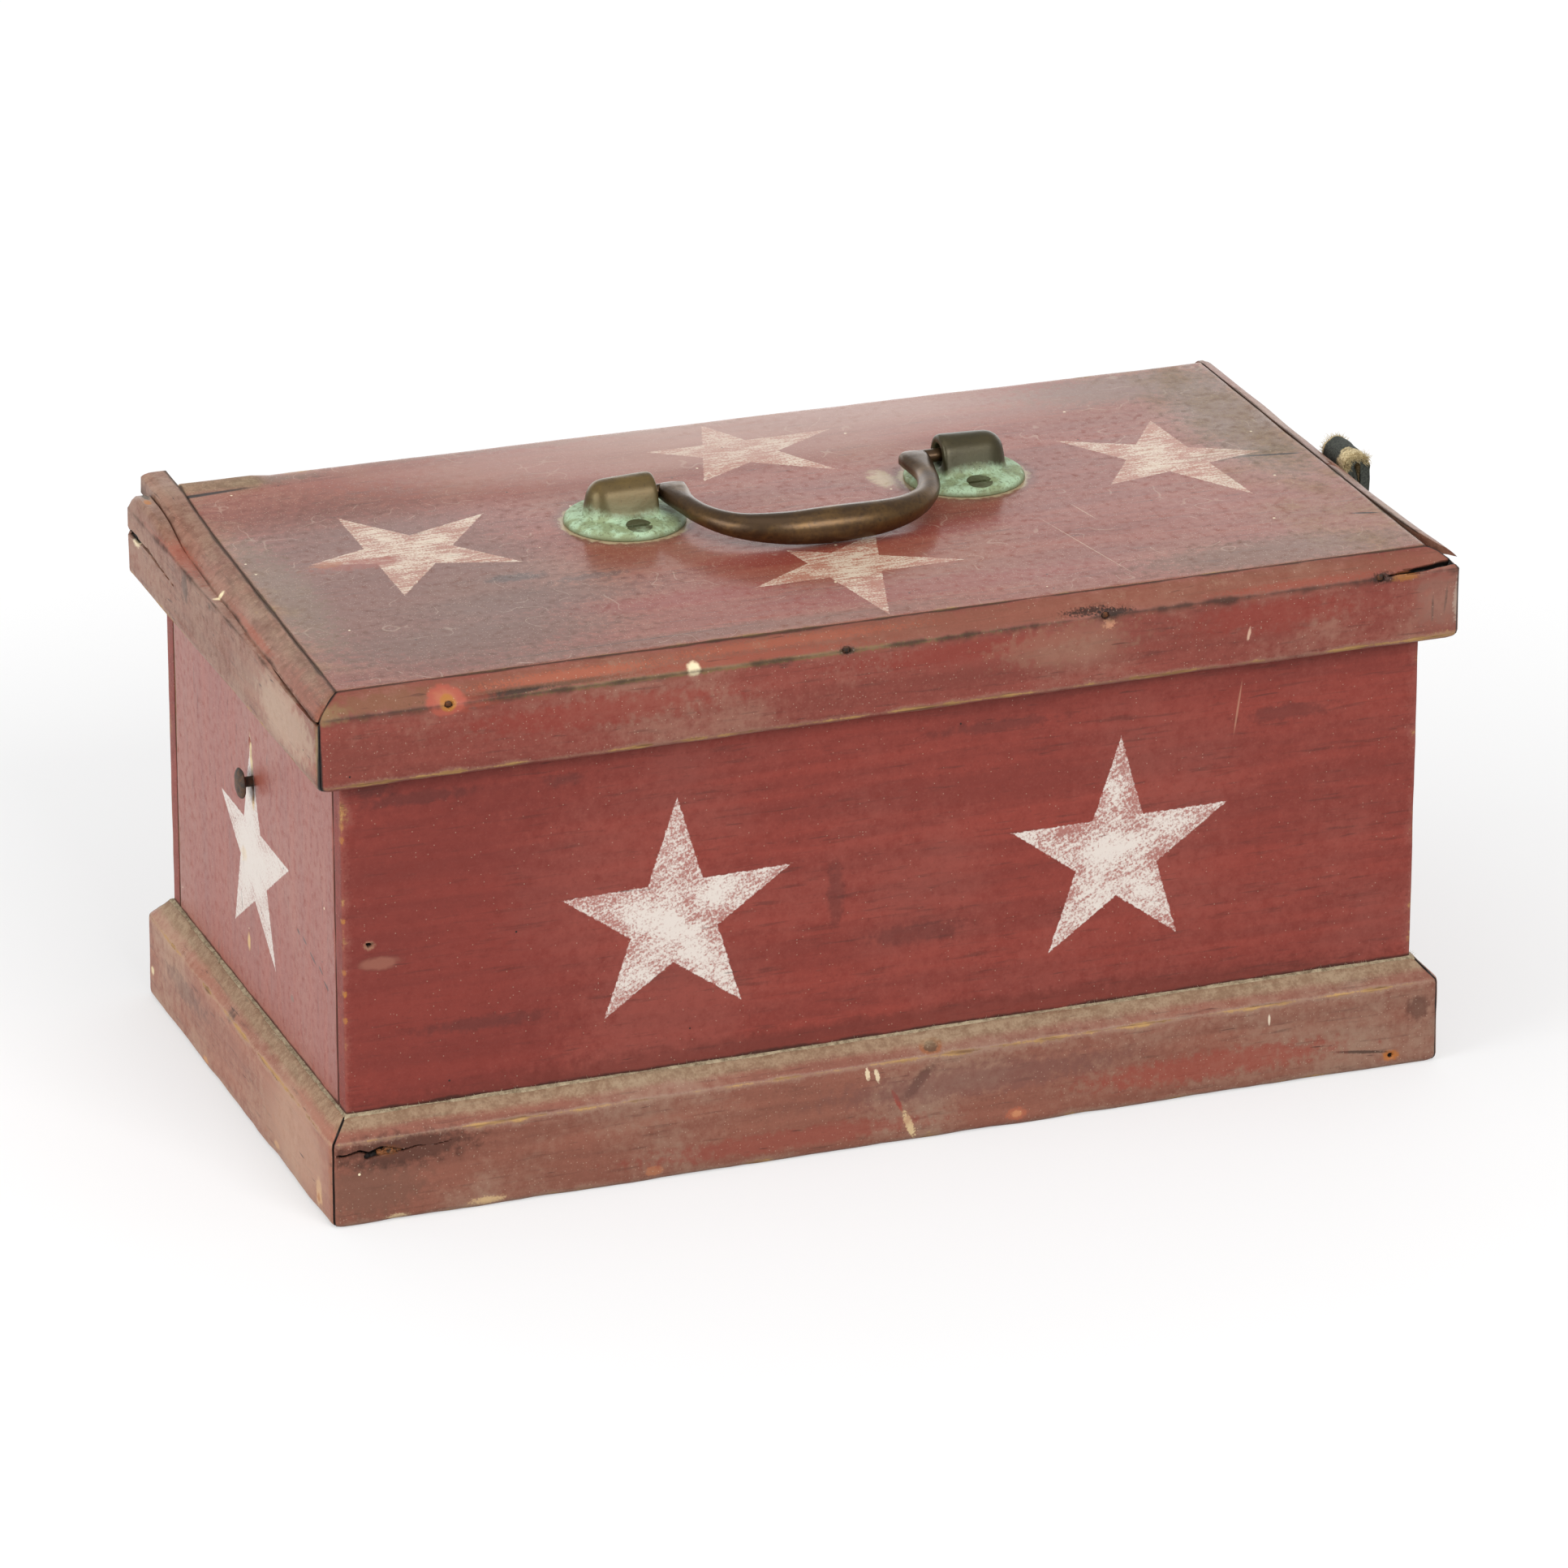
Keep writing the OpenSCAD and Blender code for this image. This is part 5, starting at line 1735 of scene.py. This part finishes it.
        def trim(along: float, out: float, up: float) -> Point:
            """Cuts the section at the split, and flattens the nose towards the tail."""
            torn = 0.2 * rough(Vector((along, out, 0)), 0.15, 41.0)
            if self.nosed(out, up):
                brow = self.tall - 1.5 * (out / self.wide) ** 6
                up += smooth((along - 40.0) / 60.0) * (brow - up)
            return out, max(up, self.level + 0.3 - 0.6 * self.shut(along) + torn)

        carving = moulding.carve(self.side(-1), trim)
        self.weather(carving, lambda co: -self.out - co.x)
        carving.wobble(0.4, 0.045, 42.0)
        corner = Vector((-self.out, self.low.y, 0))
        carving.turn(corner, -math.atan(self.skew / self.depth), Axis.Z)
        for vert in carving.bm.verts:
            vert.co.z += self.warped(vert.co.y)
        carving.finish("lip_cap_left", [self.side_paint], Body.LID, Slot.WORN, ("lid_cap_left",))

    def build_right(self) -> None:
        """Builds the right lip, notched where its splinter sprang out."""
        moulding = Moulding(self.outline(), self.low.y, self.strip_back, 1.0, 0.0, self.corner)
        back = self.low.y + self.splinter

        def trim(along: float, out: float, up: float) -> Point:
            """Cuts the section down in front of the splinter's root, and rounds its tail."""
            torn = 0.35 * rough(Vector((along, out, 0)), 0.2, 51.0)
            return out, min(up, self.level + torn if along < back else self.tall - self.knocked(along))

        carving = moulding.carve(self.side(1), trim, (back - 0.6, back))
        self.weather(carving, lambda co: co.x - self.out)
        carving.wobble(0.3, 0.05, 52.0)
        carving.finish("lip_right", [self.side_paint], Body.LID, Slot.RED, ("lid_strip_right",))

    def build_splinter(self) -> None:
        """Builds the splinter of the right lip."""
        back = self.low.y + self.splinter
        moulding = Moulding(self.outline(), self.low.y + self.tip_lost, back - 0.7, 0.5, 0.0, 1.2)

        def trim(along: float, out: float, up: float) -> Point:
            """Cuts the section at the split, and draws the tip thin."""
            torn = 0.3 * rough(Vector((along, out, 0)), 0.2, 61.0)
            full = smooth((along - self.low.y - self.tip_lost + self.wide) / 20.0)
            low = self.level + 0.35 + torn
            thin = self.wide - (self.wide - out) * (0.15 + 0.85 * full)
            return thin, low + max(0.0, up - low) * (0.2 + 0.8 * full)

        carving = moulding.carve(self.side(1), trim)
        self.weather(carving, lambda co: co.x - self.out)
        carving.wobble(0.3, 0.06, 62.0)
        sprung = self.splinter * math.tan(math.radians(self.splinter_angle))
        for vert in carving.bm.verts:
            vert.co.x += sprung * max(0.0, (back - vert.co.y) / self.splinter) ** 3
        carving.finish("lip_splinter_right", [self.side_paint], Body.LID, Slot.WORN, ("lid_splinter_right",))


@dataclass
class Handle:
    """The loose brass bail in its two hooded bases."""

    square: float = 2.7
    grip: float = 6.6
    arm: float = 3.9
    ear_wide: float = 5.6
    ear_thick: float = 2.7
    ear_run: float = 17.0
    ear_over: float = 3.4
    pivot: float = 2.5
    reach: float = 46.0
    stations: int = 84
    sides: int = 20
    voxel: float = 0.42
    flange: float = 4.0
    casting_passes: int = 24
    head_share: float = 1.15
    head_rise: float = 0.55
    flange_slope: float = 9.6
    flange_radius: float = 22.0
    hood_face: float = 10.5
    handle_x: float = 9.7
    room: float = 2.4
    pivot_reach: float = 9.5
    grip_clear: float = 0.3

    def build(self) -> None:
        """Builds and dresses the handle."""
        top = node_box("lid_board")[1].z
        left = Brass("left_brass", "#574625", "#7d6433", 0.8, top, 1.6)
        right = Brass("right_brass", "#3a3420", "#4c4226", 0.6, top, 1.0, "#3d3c28")
        self.build_base("handle_base_left", left)
        self.build_base("handle_base_right", right)
        self.build_bail(Brass("bail_brass", "#463422", "#76582f", 0.6).material())
        self.build_screws(Brass("screw_brass", "#4a4d34", "#68785a", 0.9, top - 3.0))

    def build_base(self, node: str, brass: Brass) -> None:
        """Softens a base's solid into one casting.

        Args:
            node: Node of the base.
            brass: Its finish.
        """
        source = bmesh.new()
        source.from_mesh(frame["nodes"][node].data)
        bmesh.ops.remove_doubles(source, verts=source.verts, dist=1e-6)
        rough_mesh = bpy.data.meshes.new("base_source")
        source.to_mesh(rough_mesh)
        source.free()
        holder = placed("base_source", rough_mesh)
        remesh = holder.modifiers.new("cast", "REMESH")
        remesh.mode = "VOXEL"
        remesh.voxel_size = self.voxel * MM
        soften = holder.modifiers.new("soften", "SMOOTH")
        soften.factor = 0.5
        soften.iterations = 9
        graph = bpy.context.evaluated_depsgraph_get()
        cast = bpy.data.meshes.new_from_object(holder.evaluated_get(graph))
        carving = Carving()
        carving.bm.from_mesh(cast)
        carving.scale((1 / MM,) * 3)
        bpy.data.objects.remove(holder)
        bpy.data.meshes.remove(rough_mesh)
        top = node_box("lid_board")[1].z
        crown = [v for v in carving.bm.verts if v.co.z > top + self.flange]
        for _ in range(self.casting_passes):
            bmesh.ops.smooth_vert(carving.bm, verts=crown, factor=0.5, use_axis_x=True, use_axis_y=True,
                                  use_axis_z=True)
        carving.finish(node.replace("handle_", "cast_"), [brass.material()], Body.LID, Slot.BRONZE, (node,))

    def build_screws(self, brass: Brass) -> None:
        """Lays the slotted screw heads on the slope of the flanges.

        Args:
            brass: Their finish.
        """
        carving = Carving()
        carving.bm.from_mesh(frame["nodes"]["handle_screws"].data)
        carving.scale((1 / MM,) * 3)
        low, high = node_box("handle_screws")
        middle = (low + high) / 2
        for quarter in ((False, False), (False, True), (True, False), (True, True)):
            verts = [v for v in carving.bm.verts if (v.co.x > middle.x, v.co.y > middle.y) == quarter]
            xs, ys = [v.co.x for v in verts], [v.co.y for v in verts]
            head = Vector(((min(xs) + max(xs)) / 2, (min(ys) + max(ys)) / 2, high.z))
            bmesh.ops.scale(carving.bm, vec=(self.head_share, self.head_share, 1.0), verts=verts,
                            space=Matrix.Translation(-head))
            slope = -self.flange_slope if quarter[1] else self.flange_slope
            carving.turn(head, math.radians(slope), Axis.X, verts)
            carving.move((0, 0, self.head_rise), verts)
        carving.finish("cast_screws", [brass.material()], Body.LID, Slot.BRONZE, ("handle_screws",))

    def middle(self, station: int) -> Point:
        """Works out where the middle of the bail is at a station.

        Args:
            station: Number of the station.

        Returns:
            Its places across, and out from the pivots.
        """
        half = self.half_span
        if station in (0, self.stations):
            return (half if station == 0 else -half, -self.ear_over)
        a = math.pi * (station - 1) / (self.stations - 2)
        power = 2 / self.square
        return half * bent(math.cos(a), power), self.reach * math.sin(a) ** power

    def build_bail(self, brass: Material) -> None:
        """Sweeps the bail along its squared curve.

        Args:
            brass: Its finish.
        """
        joint = next(j for j in frame["joints"] if j["name"] == "bail_hinge")
        origin = Vector(joint["pos_m"]) / MM
        hood = node_box("handle_base_right")[0].x + self.flange_radius - self.hood_face
        self.half_span = hood - self.handle_x - self.room - self.ear_wide
        above = origin.z - node_box("lid_board")[1].z - self.grip - self.grip_clear
        carving = Carving()
        carving.sweep(self.section(station) for station in range(self.stations + 1))
        neck = self.ear_wide + self.room + self.pivot_reach
        for side in (-1, 1):
            place = Matrix.Translation((side * (self.half_span + neck / 2), 0, 0))
            lying = place @ Matrix.Rotation(math.pi / 2, 4, "Y")
            bmesh.ops.create_cone(carving.bm, cap_ends=True, segments=24, radius1=self.pivot,
                                  radius2=self.pivot, depth=neck, matrix=lying)
        bmesh.ops.recalc_face_normals(carving.bm, faces=carving.bm.faces)
        carving.turn((0, 0, 0), math.asin(above / self.reach), Axis.X)
        carving.move(origin)
        carving.wobble(0.16, 0.09, 71.0)
        carving.finish("cast_bail", [brass], Body.BAIL, Slot.BRONZE, ("handle_bail",))

    def section(self, station: int) -> list[Vector]:
        """Works out the bail's section at a station.

        Args:
            station: Number of the station.

        Returns:
            The places round it.
        """
        across, out = self.middle(station)
        ahead = self.middle(min(self.stations, station + 1))
        behind = self.middle(max(0, station - 1))
        run = Vector((ahead[0] - behind[0], ahead[1] - behind[1])).normalized()
        swell = max(0.0, 1 - (across / self.half_span) ** 2) ** 1.6
        ear = 1 - smooth(out / self.ear_run)
        tip = 0.55 if station in (0, self.stations) else 1.0
        box = 1 - 0.5 * ear
        wide = (self.arm + (self.grip - self.arm) * swell) * (1 - ear) + self.ear_wide * ear
        deep = (0.92 * self.arm + (self.grip - 0.92 * self.arm) * swell) * (1 - ear) + self.ear_thick * ear
        points = []
        for k in range(self.sides):
            a = 2 * math.pi * k / self.sides
            step = wide * tip * bent(math.cos(a), box)
            rise = deep * tip * bent(math.sin(a), box)
            points.append(Vector((across + step * run.y, -(out - step * run.x), rise)))
        return points


@dataclass
class StrapStub:
    """The folded stub of a leather strap on the right lip."""

    thick: float = 4.0
    fold: float = 1.4
    fibres: int = 900

    def build(self) -> None:
        """Builds the stub with frayed rims and loose fibres."""
        low, high = node_box("strap_stub")
        leather = Leather("strap_leather").material()
        inner = low.x + self.thick
        crown = high.z - self.thick - self.fold
        mid = inner + self.fold
        outline = [*chord((low.x, low.z), (low.x, crown), 6),
                   *arc((mid, crown), self.thick + self.fold, 180, 0, 10),
                   *chord((high.x, crown - 2), (high.x, low.z + 5), 4), (high.x, low.z + 5),
                   (high.x - self.thick, low.z + 5.4),
                   *chord((high.x - self.thick, low.z + 7), (mid + self.fold, crown), 3),
                   *arc((mid, crown), self.fold, 0, 180, 5),
                   *chord((inner, crown - 2), (inner, low.z), 5), (inner, low.z)]
        moulding = Moulding(outline, low.y, high.y, 0.0, 0.0, 0.5, 2.2)
        carving = moulding.carve(lambda along, out, up: Vector((out, along, up)))

        def frayed(co: Vector) -> float:
            """Returns how far the black face has gone: off the near part of the fold and the rims."""
            if co.y > low.y + 0.8:
                return max(1.3 - (co.y - low.y) / 8.0, 1.0 - (high.y - co.y) / 2.0)
            rim = self.thick + self.fold - Vector((co.x - mid, 0, max(0.0, co.z - crown))).length
            return 0.0 if co.x > mid and low.z + 8 < co.z < crown + 1 else 1.2 - rim / 3.0

        carving.set_mark("edge", frayed)
        carving.wobble(0.5, 0.22, 81.0)
        carving.wobble(0.25, 0.7, 82.0)
        for vert in carving.bm.verts:
            rim = max(0.0, 1.0 - min(vert.co.y - low.y, high.y - vert.co.y) / 5.0)
            vert.co.y += 1.6 * rim * rough(vert.co, 0.5, 83.0)
        made = bmesh.ops.create_icosphere(carving.bm, subdivisions=3, radius=1.0)["verts"]
        size = Vector((self.fold + 1.2, (high.y - low.y) / 2 + 0.3, (crown - low.z) / 2))
        carving.scale(size, made)
        carving.move((mid, (low.y + high.y) / 2, crown - size.z + 1.0), made)
        carving.finish("strap_leather_stub", [leather], Body.LID, Slot.LEATHER, ("strap_stub",))
        self.fray(low, high)

    def fray(self, low: Vector, high: Vector) -> None:
        """Adds the loose tan fibres along the stub's rims.

        Args:
            low: Lowest corner of the stub.
            high: Highest corner of the stub.
        """
        draw = random.Random(17)
        tuft = Fibres(0.2)
        crown = Vector(((low.x + high.x) / 2, 0.0, high.z - self.thick - self.fold))
        for _ in range(self.fibres):
            y = draw.choice((low.y, low.y, high.y)) + draw.uniform(-0.6, 0.8)
            angle = math.radians(draw.uniform(20, 190))
            around = Vector((math.cos(angle), 0, math.sin(angle)))
            root = crown + Vector((0, y, 0)) + around * draw.uniform(2.6, 5.2)
            lean = around * draw.uniform(0.1, 0.5) + Vector((0, draw.uniform(-1, 1), draw.uniform(-0.4, 0.3)))
            tuft.add(root, lean, draw.uniform(1.0, 2.6), draw)
        tan = Lint("fibre_tan", "#dccb9f", "#a48d5e").material()
        tuft.finish("strap_fibres", tan, Body.LID, Slot.LEATHER)


class Fibres:
    """A tuft of thin bent fibres in one mesh."""

    def __init__(self, width: float = 0.16) -> None:
        """Makes the straight fibre that the others are copied from.

        Args:
            width: Thickness of a fibre at its root.
        """
        self.carving = Carving()
        bm = self.carving.bm
        bmesh.ops.create_cone(bm, cap_ends=True, segments=3, radius1=width / 2, radius2=width / 6, depth=1.0)
        self.carving.move((0, 0, 0.5))
        self.carving.cut(Axis.Z, (0.35, 0.7))
        self.pattern = [*bm.verts, *bm.edges, *bm.faces]

    def add(self, root: Vector, lean: Vector, length: float, draw: random.Random) -> None:
        """Adds one bent fibre.

        Args:
            root: Where it grows from.
            lean: Direction in which it leaves.
            length: Its length.
            draw: Random numbers for its bend.
        """
        bm = self.carving.bm
        made = bmesh.ops.duplicate(bm, geom=self.pattern)["geom"]
        verts = [g for g in made if isinstance(g, BMVert)]
        bend = Vector((draw.uniform(-1, 1), draw.uniform(-1, 1), 0)) * (0.5 * length)
        for vert in verts:
            share = vert.co.z
            vert.co.z *= length
            vert.co += bend * (share * share)
        turn = lean.to_track_quat("Z", "Y").to_matrix().to_4x4()
        bmesh.ops.transform(bm, matrix=Matrix.Translation(root) @ turn, verts=verts)

    def finish(self, name: str, colour: Material, body: Body, slot: Slot) -> None:
        """Drops the pattern and turns the tuft into a piece."""
        first = [g for g in self.pattern if isinstance(g, BMVert)]
        bmesh.ops.delete(self.carving.bm, geom=first, context="VERTS")
        self.carving.finish(name, [colour], body, slot)


@dataclass
class LedgeDust:
    """The fluff that has gathered on the plinth's ledge."""

    climb: float = 0.6
    spread_out: float = 1.9
    fibres_per_mm: float = 3.2

    def build(self) -> None:
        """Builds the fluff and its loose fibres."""
        tall = node_box("plinth_front")[1].z
        wide = self.spread_out
        fluff = Lint("ledge_lint").material()
        loose = Lint("loose_lint", "#cdbfa2", "#8d7a5e").material()
        outline = [(-0.3, -1.2), (0.6 * wide, -1.2), (wide, -0.9), (0.7 * wide, 0.1), (0.4 * wide, 0.35),
                   (0.35, 0.5), (0.1, self.climb), (-0.3, self.climb)]
        draw = random.Random(29)
        for side in Side.all_four():
            moulding = Moulding(outline, -side.half, side.half, 1.0, 1.0, 0.6, 1.5)

            def put(along: float, out: float, up: float) -> Vector:
                """Returns a place on this side of the ledge, with the fluff's lumps."""
                lump = 0.2 * rough(Vector((along, out, up)), 0.25, 91.0)
                lump += 0.4 * rough(Vector((along, 0, 0)), 0.05, 92.0)
                return side.put(along, out, tall + up + (lump if up > -0.8 else 0.0))

            moulding.carve(put).finish(f"ledge_lint_{side.name}", [fluff], Body.CASE, Slot.RED)
            tuft = Fibres(0.13)
            for _ in range(int(side.half * self.fibres_per_mm)):
                along = draw.uniform(-side.half, side.half)
                root = put(along, draw.uniform(0.1, 1.6), 0.1)
                lean = Vector((draw.uniform(-1, 1), draw.uniform(-1, 1), draw.uniform(0.1, 0.7)))
                tuft.add(root, lean, draw.uniform(0.6, 2.2), draw)
            tuft.finish(f"ledge_fibres_{side.name}", loose, Body.CASE, Slot.RED)


@dataclass
class Ironwork:
    """Nails, tacks and hinges of dark rusty iron."""

    head_dent: float = 0.35

    def build(self) -> None:
        """Dresses the small iron and builds the stout nail."""
        iron = RustyIron("old_iron").material()
        for name, node in frame["nodes"].items():
            if any(word in name for word in ("nails", "hinge", "tacks")):
                node.data.materials.clear()
                node.data.materials.append(iron)
        self.build_nail(RustyIron("nail_iron", "#3a302a", "#5f4431").material())

    def build_nail(self, iron: Material) -> None:
        """Spins the stout nail of the left end and dents its head.

        Args:
            iron: Its finish.
        """
        low, high = node_box("end_nail")
        middle = (low + high) / 2
        head = (high.z - low.z) / 2
        carving = Carving()
        bm = carving.bm
        profile = [(0.0, 0.0), (0.45 * head, 0.12), (0.8 * head, 0.5), (0.97 * head, 1.0), (head, 1.5),
                   (0.9 * head, 2.0), (0.5 * head, 2.2), (2.1, 2.5), (1.9, 3.4), (1.85, high.x - low.x),
                   (0.0, high.x - low.x)]
        verts = [bm.verts.new((low.x + x, middle.y, middle.z + r)) for r, x in profile]
        edges = [bm.edges.new(pair) for pair in zip(verts[:-1], verts[1:])]
        bmesh.ops.spin(bm, geom=[*verts, *edges], cent=middle, axis=(1, 0, 0), angle=2 * math.pi, steps=28,
                       use_merge=True)
        bmesh.ops.remove_doubles(bm, verts=bm.verts, dist=MERGED)
        bmesh.ops.recalc_face_normals(bm, faces=bm.faces)
        carving.wobble(self.head_dent, 0.35, 95.0)
        carving.finish("stout_nail", [iron], Body.CASE, Slot.IRON, ("end_nail",))


def main() -> None:
    """Builds the scene."""
    logging.basicConfig(level=logging.INFO, format="%(message)s")
    for part in (Stage(), Case(), Plinth(), Lid(), Handle(), StrapStub(), LedgeDust(), Ironwork()):
        part.build()
        LOG.info("%s is ready", type(part).__name__)


if __name__ == "__main__":
    main()
